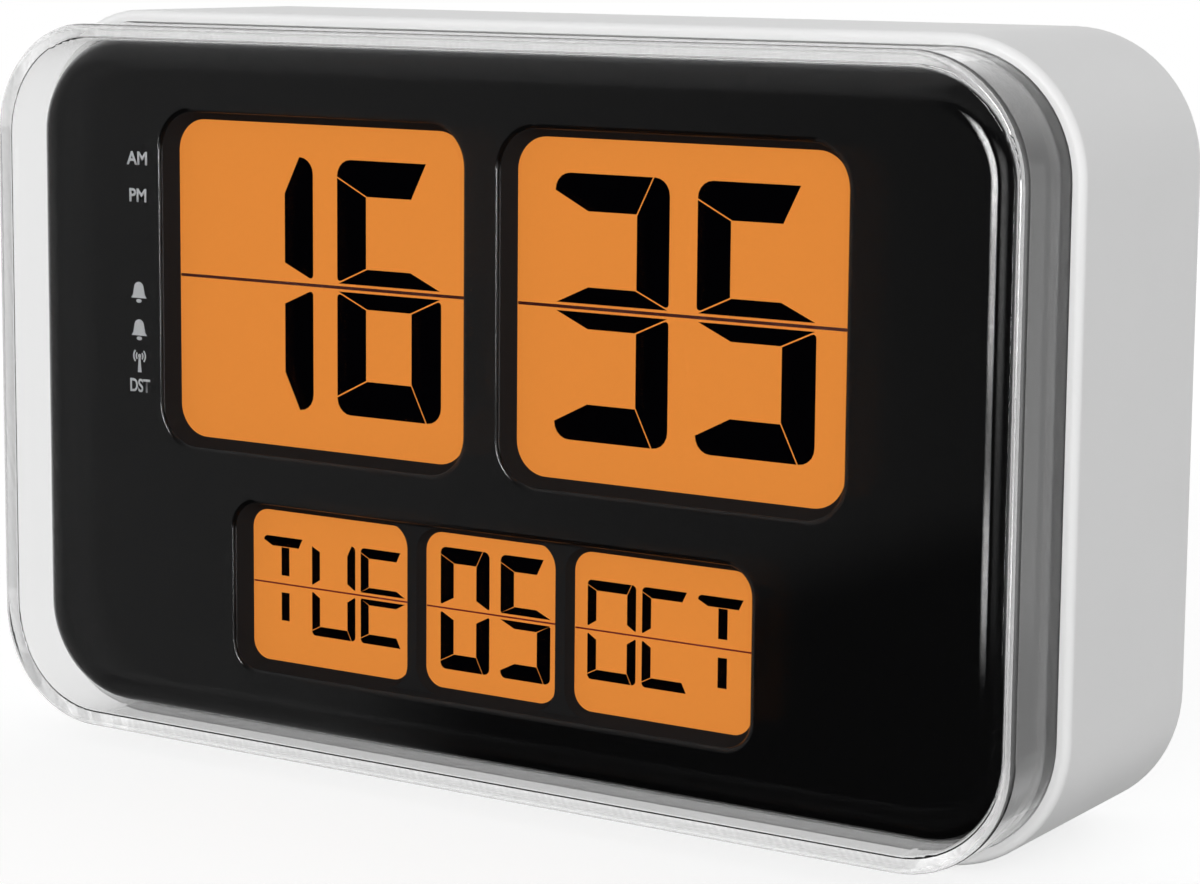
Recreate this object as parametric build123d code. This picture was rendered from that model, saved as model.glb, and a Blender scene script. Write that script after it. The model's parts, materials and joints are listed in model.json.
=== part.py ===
from build123d import *
import os

# A rounded table clock: a white housing, a clear front cover, and under the cover a black bezel with
# five windows and a lit display.
# Lengths are in millimetres. X runs to the right as seen from the front, Y to the back and Z up.
# The origin is on the table, under the middle of the clock.
# A depth is measured back from the cover's front face, a rise up from the middle of the case.

cut_overrun = 1.0           # how far a cut runs past the face that it opens
screw_clearance = 0.1       # on the diameter of a screw's hole
seat_clearance = 0.1        # between a sprung or hinged piece and its seat
plane_tolerance_share = 1e-5    # of the clock's depth, to tell which edges lie in a plane

# Clear front cover
cover_width = 186.0
cover_height = 115.4
cover_corner = 18.5
cover_wall = 2.0
cover_face = 2.0
cover_edge = 1.1
cover_inner_edge = 0.6
cover_proud = 13.8          # how far it stands out of the housing
cover_skirt = 4.0           # how far it reaches into the housing
cover_fit = 0.15

# White housing
housing_lip = 2.0           # width of the rim that shows around the cover
housing_lip_edge = 1.2
housing_depth = 42.2
housing_wall = 3.0
housing_rear_edge = 2.0
ledge_thickness = 2.5       # inner ledge that carries the cover and the bezel
ledge_side_width = 10.0
ledge_top_width = 7.3
ledge_corner = 17.0
case_post_diameter = 8.0
case_post_inset = 5.5       # from the housing's inner side wall
case_post_spread = 48.0     # between the upper and the lower post

# Rubber feet
foot_length = 16.0
foot_width = 8.0
foot_height = 1.2
foot_corner = 2.0
foot_side_inset = 35.0      # from the housing's sides to a foot's middle
foot_inset = 10.0           # from the housing's front and back edges to a foot's middle

# Black bezel
bezel_gap = 0.2
bezel_depth = 6.7
bezel_face = 3.1
bezel_wall = 2.0
bezel_roll = 6.2            # rounding of its outer edge
bezel_inner_roll = 3.6
bezel_post_diameter = 6.0
bezel_post_inset = 9.0
window_top_margin = 12.8
window_bottom_margin = 11.5
window_row_gap = 10.6
window_bevel = 1.5
window_edge = 0.9
time_side_margin = 29.4
time_window_gap = 9.4
time_window_corner = 5.2
date_side_margin = 44.2
date_window_height = 24.6
date_window_width = 24.4
date_window_corner = 3.1
date_rib = 3.3
date_rib_height = 1.6

# Display stack behind the bezel, from the front to the back
glass_margin = 3.6          # glass hidden behind the bezel around the windows
glass_thickness = 2.2
diffuser_thickness = 0.5
guide_margin = 0.8
guide_thickness = 3.0
reflector_thickness = 0.4
frame_fit = 0.2
frame_wall = 2.0
frame_back = 2.0
frame_ear = 8.0
frame_ear_thickness = 2.0
frame_ear_rise_shares = (-0.36, 0.0, 0.36)
display_boss_height = 5.0
display_boss_diameter = 6.0
lamp_count = 6
lamp_length = 3.0
lamp_height = 1.2
lamp_depth = 1.6
lamp_gap = 0.1
lamp_board_thickness = 0.8
lamp_board_depth = 2.8
contact_strip_margin = 11.0 # from the glass's sides
contact_strip_width = 2.0
contact_strip_inset = 0.4

# Main board
board_thickness = 1.6
main_board_side_margin = 5.2    # from the sides of the display frame
main_board_drop = 1.0       # how far it reaches below the display glass
main_board_hole_inset = 6.0
standoff_height = 3.0
standoff_diameter = 6.0
controller_diameter = 16.0
controller_height = 1.8
controller_edge = 1.2
crystal_length = 8.0
crystal_width = 3.2
crystal_height = 3.0
crystal_corner = 1.4
capacitor_diameter = 6.3
capacitor_height = 7.0
capacitor_edge = 0.6
capacitor_x_shares = (-0.38, -0.30, 0.34)
capacitor_rise_share = 0.18
socket_length = 20.0
socket_height = 5.0
socket_width = 4.0
socket_edge_distance = 6.0  # from the main board's upper edge
ribbon_width = 16.0
ribbon_thickness = 0.8
ribbon_bend = 3.0
ribbon_drop = 16.85         # from the button board's socket down to the main board's

# Radio receiver
rod_diameter = 8.0
rod_length = 60.0
rod_fit = 0.1
rod_drop = 9.5              # from the housing's inner top wall to the rod's axis
rod_depth = 31.0
holder_length = 6.0
holder_width = 13.0
holder_wall = 2.2
holder_spread = 48.0
coil_length = 16.0
coil_diameter = 13.0
coil_cheek = 1.2
coil_cheek_diameter = 15.0
receiver_board_width = 26.0
receiver_board_height = 20.0
receiver_inset = 30.0       # from the housing's inner side wall to the board's middle
receiver_chip_size = 8.0
receiver_chip_height = 1.8
receiver_post_diameter = 5.0
receiver_post_height = 6.0
receiver_post_spread = 18.0
receiver_pin_diameter = 2.0
receiver_pin_height = 1.2

# Back panel: the battery bay and the button board lie one above the other, and share what height is spare
bay_lift_share = 0.41       # of the spare height, below the bay
bay_gap_share = 0.32        # between the bay and the button board
panel_gap = 0.3
panel_recess = 1.5
panel_thickness = 2.2
panel_edge = 0.5
counterbore_depth = 1.0
counterbore_clearance = 0.6
buzzer_diameter = 24.0
buzzer_height = 4.0
buzzer_wall = 1.2
buzzer_fit = 0.3
buzzer_ring_wall = 1.5
buzzer_inset = 30.0         # from the housing's inner side wall to its middle
sound_hole_diameter = 2.2
sound_hole_circle = 11.0
sound_hole_count = 6

# Battery bay, door and cells
cell_count = 3
cell_diameter = 14.3
cell_length = 49.5
cell_edge = 0.6
cell_nub_diameter = 5.4
cell_nub_length = 1.0
cell_pitch = 15.0
cell_gap = 0.3              # around the cells in the bay
cell_door_gap = 0.9
contact_thickness = 0.4
contact_size = 9.0
contact_touch = 0.05
leaf_reach = 3.6
leaf_thickness = 0.4
leaf_width = 5.0
bay_wall = 3.6
bay_floor = 1.6
door_thickness = 2.0
door_ledge = 2.4
door_gap = 0.25
door_corner = 2.0
door_edge = 0.4
door_tab_width = 10.0
door_tab_spread = 34.0
door_tab_thickness = 1.2
door_tab_hook = 1.6
door_tab_drop = 2.2         # from the door's inner face to the hook
door_tab_gap = 0.3
door_ridge_count = 4        # finger ridges below the grip
door_ridge_length = 14.0
door_ridge_width = 0.8
door_ridge_height = 0.4
door_ridge_pitch = 2.0
door_ridge_margin = 3.0     # from the door's upper edge to the first ridge
tab_pocket_depth = 4.2
tab_pocket_roof = 1.2
tab_pocket_reach = 2.0
grip_length = 14.0
grip_width = 4.0
grip_depth = 1.2

# Push buttons, their switches and their board
button_names = ("alarm_two", "alarm_one", "minus", "plus", "set", "search")
button_diameter = 9.0
button_pitch = 18.0
button_row_drop = 16.0      # from the snooze bar down to the row
snooze_length = 50.0
snooze_height = 10.0
button_gap = 0.25
button_proud = 1.0
button_edge = 0.6
button_flange = 1.2
button_flange_thickness = 1.0
button_travel = 1.0
plunger_diameter = 3.4
plunger_reach = 1.7         # how far it stands out of its switch
plunger_length = 3.2
plunger_fit = 0.2
switch_size = 6.0
switch_height = 3.5
button_board_margin = 10.0
button_boss_diameter = 6.0
button_boss_inset = 5.0

# Screws: shank, head and driver cross, for the case screws and for the small ones inside
case_shank = 3.0
case_head = 5.6
case_head_height = 1.8
case_screw_length = 14.0
small_shank = 2.2
small_head = 4.2
small_head_height = 1.5
bezel_screw_length = 8.0
frame_screw_length = 5.5
main_screw_length = 5.0
button_screw_length = 6.0
screw_tip_room = 0.6        # free hole beyond a screw's tip
cross_length_share = 0.62   # of the head's diameter
cross_width_share = 0.16
cross_depth_share = 0.55    # of the head's height


def corners(half_width, half_height, rise=0):
    """Four places, mirrored from side to side, and up and down about a rise."""
    return [(x, rise + z) for x in (-half_width, half_width) for z in (-half_height, half_height)]


# Sizes and depths that follow from those above: case
housing_width = cover_width + 2 * housing_lip
housing_height = cover_height + 2 * housing_lip
housing_corner = cover_corner + housing_lip
total_depth = cover_proud + housing_depth
middle_z = foot_height + housing_height / 2
inside_width = housing_width - 2 * housing_wall
inside_height = housing_height - 2 * housing_wall
inside_corner = housing_corner - housing_wall
ledge_front = cover_proud + cover_skirt
ledge_back = ledge_front + ledge_thickness
panel_back = total_depth - panel_recess
panel_front = panel_back - panel_thickness
case_post_places = corners(inside_width / 2 - case_post_inset, case_post_spread / 2)
foot_x = housing_width / 2 - foot_side_inset

# Bezel and its windows
bezel_inset = cover_wall + bezel_gap
bezel_width = cover_width - 2 * bezel_inset
bezel_height = cover_height - 2 * bezel_inset
bezel_corner = cover_corner - bezel_inset
bezel_post_places = corners(bezel_width / 2 - bezel_post_inset, bezel_height / 2 - bezel_post_inset)
window_top = bezel_height / 2 - window_top_margin
window_bottom = window_bottom_margin - bezel_height / 2
date_window_rise = window_bottom + date_window_height / 2
time_window_bottom = window_bottom + date_window_height + window_row_gap
time_window_height = window_top - time_window_bottom
time_window_rise = (window_top + time_window_bottom) / 2
time_window_width = bezel_width / 2 - time_side_margin - time_window_gap / 2
time_window_x = (time_window_gap + time_window_width) / 2
date_row_width = bezel_width - 2 * date_side_margin
day_window_width = (date_row_width - date_window_width) / 2 - date_rib
day_window_x = (date_row_width - day_window_width) / 2
date_windows = [(-day_window_x, day_window_width), (0, date_window_width), (day_window_x, day_window_width)]

# Display stack and its frame
glass_front = bezel_depth + bezel_face
glass_back = glass_front + glass_thickness
glass_width = bezel_width - 2 * (time_side_margin - glass_margin)
glass_top = window_top + glass_margin
glass_bottom = window_bottom - glass_margin
glass_height = glass_top - glass_bottom
glass_rise = (glass_top + glass_bottom) / 2
guide_front = glass_back + diffuser_thickness
guide_back = guide_front + guide_thickness
guide_top = window_top + guide_margin
guide_bottom = window_bottom - guide_margin
guide_height = guide_top - guide_bottom
guide_rise = (guide_top + guide_bottom) / 2
frame_floor = guide_back + reflector_thickness
frame_rear = frame_floor + frame_back
frame_width = glass_width + 2 * (frame_fit + frame_wall)
frame_height = glass_height + 2 * (frame_fit + frame_wall)
ear_front = glass_front + display_boss_height
ear_back = ear_front + frame_ear_thickness
ear_x = (frame_width + frame_ear) / 2
ear_places = [(x, glass_rise + share * frame_height)
              for x in (-ear_x, ear_x) for share in frame_ear_rise_shares]

# Battery bay and door
bay_length = cell_length + cell_nub_length + leaf_reach + 2 * (contact_thickness + contact_touch)
bay_height = cell_count * cell_pitch + 2 * cell_gap
bay_depth = cell_gap + cell_diameter + cell_door_gap
button_board_height = button_row_drop + (button_diameter + snooze_height) / 2 + button_board_margin
spare_height = inside_height - bay_height - 2 * bay_wall - button_board_height
bay_bottom = bay_lift_share * spare_height + bay_wall - inside_height / 2
bay_rise = bay_bottom + bay_height / 2
door_front = panel_back - door_thickness
door_seat = door_front - seat_clearance
bay_front = door_seat - bay_depth
cell_depth = bay_front + cell_gap + cell_diameter / 2
door_width = bay_length + 2 * door_ledge
door_height = bay_height + 2 * door_ledge
door_top = bay_rise + door_height / 2

# Buttons, switches and their board
flange_back = panel_front - seat_clearance
flange_front = flange_back - button_flange_thickness
plunger_front = flange_front - plunger_length
switch_back = flange_front - plunger_reach
button_board_back = switch_back - switch_height
button_board_front = button_board_back - board_thickness
button_row_width = (len(button_names) - 1) * button_pitch
button_board_width = button_row_width + button_diameter + 2 * button_board_margin
button_board_bottom = bay_bottom + bay_height + bay_wall + bay_gap_share * spare_height
button_board_rise = button_board_bottom + button_board_height / 2
button_row_rise = button_board_bottom + (button_board_margin + button_diameter) / 2
snooze_rise = button_row_rise + button_row_drop
button_boss_places = corners(button_board_width / 2 - button_boss_inset,
                             button_board_height / 2 - button_boss_inset, button_board_rise)
button_places = {name: (index * button_pitch - button_row_width / 2, button_row_rise)
                 for index, name in enumerate(button_names)}
button_places["snooze"] = (0, snooze_rise)

# Main board, receiver and buzzer
main_front = frame_rear + standoff_height
main_back = main_front + board_thickness
main_bottom = glass_bottom - main_board_drop
main_socket_rise = button_board_rise - ribbon_drop
main_board_width = frame_width - 2 * main_board_side_margin
main_board_height = main_socket_rise + socket_edge_distance - main_bottom
main_rise = main_bottom + main_board_height / 2
main_hole_places = corners(main_board_width / 2 - main_board_hole_inset,
                           main_board_height / 2 - main_board_hole_inset, main_rise)
contact_strip_length = glass_width - 2 * contact_strip_margin
contact_strip_rise = glass_bottom + contact_strip_inset + contact_strip_width / 2
rod_rise = inside_height / 2 - rod_drop
receiver_back = panel_front - receiver_post_height
receiver_front = receiver_back - board_thickness
receiver_x = receiver_inset - inside_width / 2
receiver_post_places = [(receiver_x + side * receiver_post_spread / 2, bay_rise) for side in (-1, 1)]
buzzer_x = inside_width / 2 - buzzer_inset


def y_at(depth):
    """The Y of a depth behind the cover's front face."""
    return depth - total_depth / 2


def facing(depth, x=0, rise=0):
    """A plane at a depth that looks forwards, so that an extrusion from it runs to the front."""
    return Plane(origin=(x, y_at(depth), middle_z + rise), x_dir=(1, 0, 0), z_dir=(0, -1, 0))


def prism(outline, front, back, x=0, rise=0):
    """An outline extruded between two depths."""
    return extrude(facing(back, x, rise) * outline, amount=back - front)


def slab(width, height, corner, front, back, x=0, rise=0):
    """A plate with rounded corners between two depths."""
    return prism(RectangleRounded(width, height, corner), front, back, x, rise)


def plate(width, height, front, back, x=0, rise=0):
    """A plate with square corners between two depths."""
    return prism(Rectangle(width, height), front, back, x, rise)


def peg(diameter, front, back, x=0, rise=0):
    """A round peg between two depths."""
    return prism(Circle(diameter / 2), front, back, x, rise)


def through(outline, front, back, x=0, rise=0):
    """A cut that runs out of both faces of what lies between two depths."""
    return prism(outline, front - cut_overrun, back + cut_overrun, x, rise)


def screw_hole(front, back, x, rise, shank=small_shank):
    """A hole right through a plate, for the shank of a screw."""
    return through(Circle((shank + screw_clearance) / 2), front, back, x, rise)


def pilot_hole(seat, length, opening, x, rise, shank=small_shank):
    """A blind hole in a post that opens at its back, for a screw driven forwards from its seat."""
    tip = seat - length - screw_tip_room
    return peg(shank + screw_clearance, tip, opening + cut_overrun, x, rise)


def flare(width, height, corner, slope, front, back, x, rise):
    """A rounded opening that widens by its slope for each millimetre that it comes forwards."""
    grow = slope * (back - front)
    inner = facing(back, x, rise) * RectangleRounded(width, height, corner)
    outer = facing(front, x, rise) * RectangleRounded(width + 2 * grow, height + 2 * grow, corner + grow)
    return loft([inner, outer])


def edges_at(shape, depth):
    """The edges that lie flat in the plane of one depth."""
    tolerance = plane_tolerance_share * total_depth
    boxes = [(edge, edge.bounding_box()) for edge in shape.edges()]
    return [edge for edge, box in boxes
            if abs(box.min.Y - y_at(depth)) < tolerance and abs(box.max.Y - y_at(depth)) < tolerance]


def edges_within(edges, half_width, half_height):
    """Those of some edges that lie within a rectangle about the middle of the case."""
    boxes = [(edge, edge.bounding_box()) for edge in edges]
    return [edge for edge, box in boxes
            if max(-box.min.X, box.max.X) < half_width
            and max(middle_z - box.min.Z, box.max.Z - middle_z) < half_height]


def screw(x, rise, seat, length, shank, head, head_height, forwards):
    """A cross-head screw whose head sits on a seat. It points forwards, or else backwards."""
    if forwards:
        body = peg(shank, seat - length, seat, x, rise)
        body += peg(head, seat, seat + head_height, x, rise)
        cross_front = seat + head_height * (1 - cross_depth_share)
        cross_back = seat + head_height + cut_overrun
    else:
        body = peg(shank, seat, seat + length, x, rise)
        body += peg(head, seat - head_height, seat, x, rise)
        cross_front = seat - head_height - cut_overrun
        cross_back = seat - head_height * (1 - cross_depth_share)
    long_side = head * cross_length_share
    short_side = head * cross_width_share
    body -= plate(long_side, short_side, cross_front, cross_back, x, rise)
    body -= plate(short_side, long_side, cross_front, cross_back, x, rise)
    return body


def small_screws(places, seat, length, forwards=True):
    """Like screws, all on one seat."""
    return [screw(x, rise, seat, length, small_shank, small_head, small_head_height, forwards)
            for x, rise in places]


def make_cover():
    """A clear box, open at the back, whose skirt fits into the housing."""
    shell = slab(cover_width, cover_height, cover_corner, 0, ledge_front)
    shell = fillet(edges_at(shell, 0), cover_edge)
    hollow = slab(cover_width - 2 * cover_wall, cover_height - 2 * cover_wall, cover_corner - cover_wall,
                  cover_face, ledge_front + cut_overrun)
    return shell - fillet(edges_at(hollow, cover_face), cover_inner_edge)


def make_housing():
    """The white sleeve, with an inner ledge at the front and four posts for the back panel."""
    shell = slab(housing_width, housing_height, housing_corner, cover_proud, total_depth)
    shell = fillet(edges_at(shell, cover_proud), housing_lip_edge)
    shell = fillet(edges_at(shell, total_depth), housing_rear_edge)
    pocket_width = cover_width + 2 * cover_fit
    pocket_height = cover_height + 2 * cover_fit
    shell -= slab(pocket_width, pocket_height, cover_corner + cover_fit,
                  cover_proud - cut_overrun, ledge_front)
    shell -= slab(pocket_width - 2 * ledge_side_width, pocket_height - 2 * ledge_top_width, ledge_corner,
                  ledge_front - cut_overrun, ledge_back + cut_overrun)
    shell -= slab(inside_width, inside_height, inside_corner, ledge_back, total_depth + cut_overrun)
    for x, rise in bezel_post_places:
        shell -= screw_hole(ledge_front, ledge_back, x, rise)
    for x, rise in case_post_places:
        side = 1 if x > 0 else -1
        web = (inside_width + housing_wall) / 2 - abs(x)
        shell += peg(case_post_diameter, ledge_back, panel_front, x, rise)
        shell += plate(web, case_post_diameter / 2, ledge_back, panel_front, x + side * web / 2, rise)
        case_seat = panel_back - counterbore_depth
        shell -= pilot_hole(case_seat, case_screw_length, panel_front, x, rise, case_shank)
    return shell


def make_feet():
    """Four rubber pads under the housing."""
    pads = []
    for x in (-foot_x, foot_x):
        for depth in (cover_proud + foot_inset, total_depth - foot_inset):
            outline = Pos(x, y_at(depth), 0) * RectangleRounded(foot_length, foot_width, foot_corner)
            pads.append(extrude(outline, amount=foot_height))
    return pads


def make_bezel():
    """The black front: a tray with a rounded edge, five bevelled windows and posts at its back."""
    shell = slab(bezel_width, bezel_height, bezel_corner, bezel_depth, ledge_front)
    shell = fillet(edges_at(shell, bezel_depth), bezel_roll)
    hollow = slab(bezel_width - 2 * bezel_wall, bezel_height - 2 * bezel_wall, bezel_corner - bezel_wall,
                  glass_front, ledge_front + cut_overrun)
    shell -= fillet(edges_at(hollow, glass_front), bezel_inner_roll)

    slope = window_bevel / bezel_face
    rib_front = glass_front - date_rib_height
    opened = bezel_depth - cut_overrun
    for x in (-time_window_x, time_window_x):
        shell -= flare(time_window_width, time_window_height, time_window_corner, slope,
                       opened, glass_front, x, time_window_rise)
    for x, width in date_windows:
        shell -= flare(width, date_window_height, date_window_corner, slope,
                       rib_front, glass_front, x, date_window_rise)
    rib_grow = slope * date_rib_height
    shell -= flare(date_row_width + 2 * rib_grow, date_window_height + 2 * rib_grow,
                   date_window_corner + rib_grow, slope, opened, rib_front, 0, date_window_rise)
    rims = edges_within(edges_at(shell, bezel_depth), bezel_width / 2 - bezel_roll - window_edge,
                        bezel_height / 2 - bezel_roll - window_edge)
    shell = fillet(rims, window_edge)

    for x, rise in bezel_post_places:
        shell += peg(bezel_post_diameter, glass_front, ledge_front, x, rise)
        shell -= pilot_hole(ledge_back, bezel_screw_length, ledge_front, x, rise)
    for x, rise in ear_places:
        shell += peg(display_boss_diameter, glass_front, ear_front, x, rise)
        shell -= pilot_hole(ear_back, frame_screw_length, ear_front, x, rise)
    return shell


def make_display():
    """The glass and what lights it: diffuser, light guide, reflector and a strip of lamps above."""
    save("lcd_glass", plate(glass_width, glass_height, glass_front, glass_back, 0, glass_rise))
    save("diffuser_sheet", plate(glass_width, guide_height, glass_back, guide_front, 0, guide_rise))
    save("light_guide", plate(glass_width, guide_height, guide_front, guide_back, 0, guide_rise))
    save("reflector_sheet", plate(glass_width, guide_height, guide_back, frame_floor, 0, guide_rise))
    lamp_rise = guide_top + lamp_gap + lamp_height / 2
    lamp_board_rise = lamp_rise + (lamp_height + lamp_board_thickness) / 2
    lamp_board_front = frame_floor - lamp_board_depth
    lamp_front = lamp_board_front + (lamp_board_depth - lamp_depth) / 2
    pitch = glass_width / lamp_count
    save("backlight_lamps", [plate(lamp_length, lamp_height, lamp_front, lamp_front + lamp_depth,
                                   (index + 1 / 2) * pitch - glass_width / 2, lamp_rise)
                             for index in range(lamp_count)])
    save("lamp_board", plate(glass_width, lamp_board_thickness, lamp_board_front, frame_floor,
                             0, lamp_board_rise))
    save("contact_strip", plate(contact_strip_length, contact_strip_width, glass_back, main_front,
                                0, contact_strip_rise))


def make_display_frame():
    """The tray that presses the glass and its light against the bezel, with ears and standoffs."""
    frame = plate(frame_width, frame_height, glass_front, frame_rear, 0, glass_rise)
    frame -= plate(glass_width + 2 * frame_fit, glass_height + 2 * frame_fit,
                   glass_front - cut_overrun, frame_floor, 0, glass_rise)
    slot = Rectangle(contact_strip_length + 2 * frame_fit, contact_strip_width + 2 * frame_fit)
    frame -= through(slot, frame_floor, frame_rear, 0, contact_strip_rise)
    for x, rise in ear_places:
        side = 1 if x > 0 else -1
        reach = frame_ear + frame_wall
        frame += plate(reach, frame_ear, ear_front, ear_back, x - side * frame_wall / 2, rise)
        frame -= screw_hole(ear_front, ear_back, x, rise)
    for x, rise in main_hole_places:
        frame += peg(standoff_diameter, frame_rear, main_front, x, rise)
        frame -= pilot_hole(main_back, main_screw_length, main_front, x, rise)
    return frame


def make_main_board():
    """The board behind the display and what is soldered to it."""
    board = plate(main_board_width, main_board_height, main_front, main_back, 0, main_rise)
    for x, rise in main_hole_places:
        board -= screw_hole(main_front, main_back, x, rise)
    save("main_board", board)
    blob_back = main_back + controller_height
    blob = peg(controller_diameter, main_back, blob_back, 0, main_rise)
    save("controller_chip", fillet(edges_at(blob, blob_back), controller_edge))
    crystal_x = controller_diameter + crystal_length
    save("clock_crystal", slab(crystal_length, crystal_width, crystal_corner,
                               main_back, main_back + crystal_height, crystal_x, main_rise))
    can_back = main_back + capacitor_height
    can_rise = main_rise + capacitor_rise_share * main_board_height
    cans = [peg(capacitor_diameter, main_back, can_back, share * main_board_width, can_rise)
            for share in capacitor_x_shares]
    save("capacitors", [fillet(edges_at(can, can_back), capacitor_edge) for can in cans])
    front_socket = plate(socket_length, socket_width, main_back, main_back + socket_height,
                         0, main_socket_rise)
    rear_socket = plate(socket_length, socket_width, button_board_front - socket_height,
                        button_board_front, 0, button_board_rise)
    save("ribbon_sockets", [front_socket, rear_socket])


def make_ribbon():
    """The flat cable that joins the main board to the button board."""
    start = (0, y_at(main_back + socket_height), middle_z + main_socket_rise)
    end = (0, y_at(button_board_front - socket_height), middle_z + button_board_rise)
    halfway = (start[1] + end[1]) / 2
    path = FilletPolyline(start, (0, halfway, start[2]), (0, halfway, end[2]), end, radius=ribbon_bend)
    across = Plane(origin=start, x_dir=(1, 0, 0), z_dir=(0, 1, 0))
    return sweep(across * Rectangle(ribbon_width, ribbon_thickness), path=path)


def along_rod(diameter, length, x=0):
    """A round bar on the aerial's axis, with its middle at an x."""
    axis = Plane(origin=(x, y_at(rod_depth), middle_z + rod_rise), x_dir=(0, 1, 0), z_dir=(1, 0, 0))
    return extrude(axis * Circle(diameter / 2), amount=length / 2, both=True)


def make_receiver():
    """The radio receiver: a ferrite rod with its coil, hung from the housing's top, and a board."""
    save("ferrite_rod", along_rod(rod_diameter, rod_length))
    bore = rod_diameter + rod_fit
    coil = along_rod(coil_diameter, coil_length)
    for side in (-1, 1):
        coil += along_rod(coil_cheek_diameter, coil_cheek, side * (coil_length - coil_cheek) / 2)
    save("aerial_coil", coil - along_rod(bore, coil_length + 2 * cut_overrun))
    holder_bottom = rod_rise - rod_diameter / 2 - holder_wall
    holder_height = inside_height / 2 - holder_bottom
    holder_front = rod_depth - holder_width / 2
    holders = []
    for x in (-holder_spread / 2, holder_spread / 2):
        block = plate(holder_length, holder_height, holder_front, holder_front + holder_width,
                      x, holder_bottom + holder_height / 2)
        holders.append(block - along_rod(bore, holder_length + 2 * cut_overrun, x))
    save("rod_holders", holders)

    board = plate(receiver_board_width, receiver_board_height, receiver_front, receiver_back,
                  receiver_x, bay_rise)
    for x, rise in receiver_post_places:
        board -= screw_hole(receiver_front, receiver_back, x, rise, receiver_pin_diameter)
    save("receiver_board", board)
    chip = plate(receiver_chip_size, receiver_chip_size, receiver_front - receiver_chip_height,
                 receiver_front, receiver_x, bay_rise)
    save("receiver_chip", chip)


def button_outline(name, grow=0):
    """The outline of a button's cap, or of its hole or flange when it is grown."""
    if name == "snooze":
        return SlotOverall(snooze_length + 2 * grow, snooze_height + 2 * grow)
    return Circle(button_diameter / 2 + grow)


def cut_battery_bay(panel):
    """Give the back panel its battery bay, the door's recess, the pockets of its tabs and a grip."""
    opened = panel_back + cut_overrun
    panel += plate(bay_length + 2 * bay_wall, bay_height + 2 * bay_wall, bay_front - bay_floor,
                   panel_front + panel_thickness / 2, 0, bay_rise)
    panel -= plate(bay_length, bay_height, bay_front, opened, 0, bay_rise)
    panel -= slab(door_width + 2 * door_gap, door_height + 2 * door_gap, door_corner + door_gap,
                  door_seat, opened, 0, bay_rise)
    pocket_back = door_seat - tab_pocket_roof
    for side in (-1, 1):
        panel -= plate(door_tab_width + 2 * door_tab_gap, 2 * tab_pocket_reach,
                       pocket_back - tab_pocket_depth, pocket_back, side * door_tab_spread / 2, bay_bottom)
    grip = SlotOverall(grip_length, 2 * grip_width)
    return panel - prism(grip, panel_back - grip_depth, opened, 0, door_top)


def make_back_panel():
    """The back: a plate with a battery bay, button holes, sound holes, bosses and a buzzer ring."""
    panel = slab(inside_width - 2 * panel_gap, inside_height - 2 * panel_gap, inside_corner - panel_gap,
                 panel_front, panel_back)
    panel = fillet(edges_at(panel, panel_back), panel_edge)
    panel = cut_battery_bay(panel)
    for name, (x, rise) in button_places.items():
        panel -= through(button_outline(name, button_gap), panel_front, panel_back, x, rise)
    for x, rise in button_boss_places:
        panel += peg(button_boss_diameter, button_board_back, panel_front, x, rise)
        hole_back = button_board_front + button_screw_length + screw_tip_room
        panel -= peg(small_shank + screw_clearance, button_board_back - cut_overrun, hole_back, x, rise)
    for x, rise in case_post_places:
        panel -= screw_hole(panel_front, panel_back, x, rise, case_shank)
        panel -= peg(case_head + counterbore_clearance, panel_back - counterbore_depth,
                     panel_back + cut_overrun, x, rise)
    for x, rise in receiver_post_places:
        panel += peg(receiver_post_diameter, receiver_back, panel_front, x, rise)
        panel += peg(receiver_pin_diameter, receiver_front - receiver_pin_height, panel_front, x, rise)

    ring_bore = buzzer_diameter + buzzer_fit
    ring_front = panel_front - buzzer_height
    ring = peg(ring_bore + 2 * buzzer_ring_wall, ring_front, panel_front, buzzer_x, bay_rise)
    panel += ring - peg(ring_bore, ring_front - cut_overrun, panel_front, buzzer_x, bay_rise)
    sound_hole = Circle(sound_hole_diameter / 2)
    sound_holes = [sound_hole] + PolarLocations(sound_hole_circle / 2, sound_hole_count) * sound_hole
    for hole in sound_holes:
        panel -= through(hole, panel_front, panel_back, buzzer_x, bay_rise)
    return panel


def make_buzzer():
    """A flat cup whose mouth lies on the sound holes."""
    front = panel_front - buzzer_height
    cup = peg(buzzer_diameter, front, panel_front, buzzer_x, bay_rise)
    mouth = buzzer_diameter - 2 * buzzer_wall
    return cup - peg(mouth, front + buzzer_wall, panel_front + cut_overrun, buzzer_x, bay_rise)


def make_battery_door():
    """The flush door, with finger ridges outside and two hooked tabs along its lower edge."""
    door = slab(door_width, door_height, door_corner, door_front, panel_back, 0, bay_rise)
    door = fillet(edges_at(door, panel_back), door_edge)
    for index in range(door_ridge_count):
        rise = door_top - door_ridge_margin - index * door_ridge_pitch
        door += plate(door_ridge_length, door_ridge_width, door_front, panel_back + door_ridge_height,
                      0, rise)
    stem_rise = bay_bottom + door_tab_gap + door_tab_thickness / 2
    hook_back = door_front - door_tab_drop
    hook_front = hook_back - door_tab_thickness
    hook_height = door_tab_hook + door_tab_gap + door_tab_thickness
    hook_rise = stem_rise + door_tab_thickness / 2 - hook_height / 2
    for side in (-1, 1):
        x = side * door_tab_spread / 2
        door += plate(door_tab_width, door_tab_thickness, hook_front, door_front, x, stem_rise)
        door += plate(door_tab_width, hook_height, hook_front, hook_back, x, hook_rise)
    return door


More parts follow.
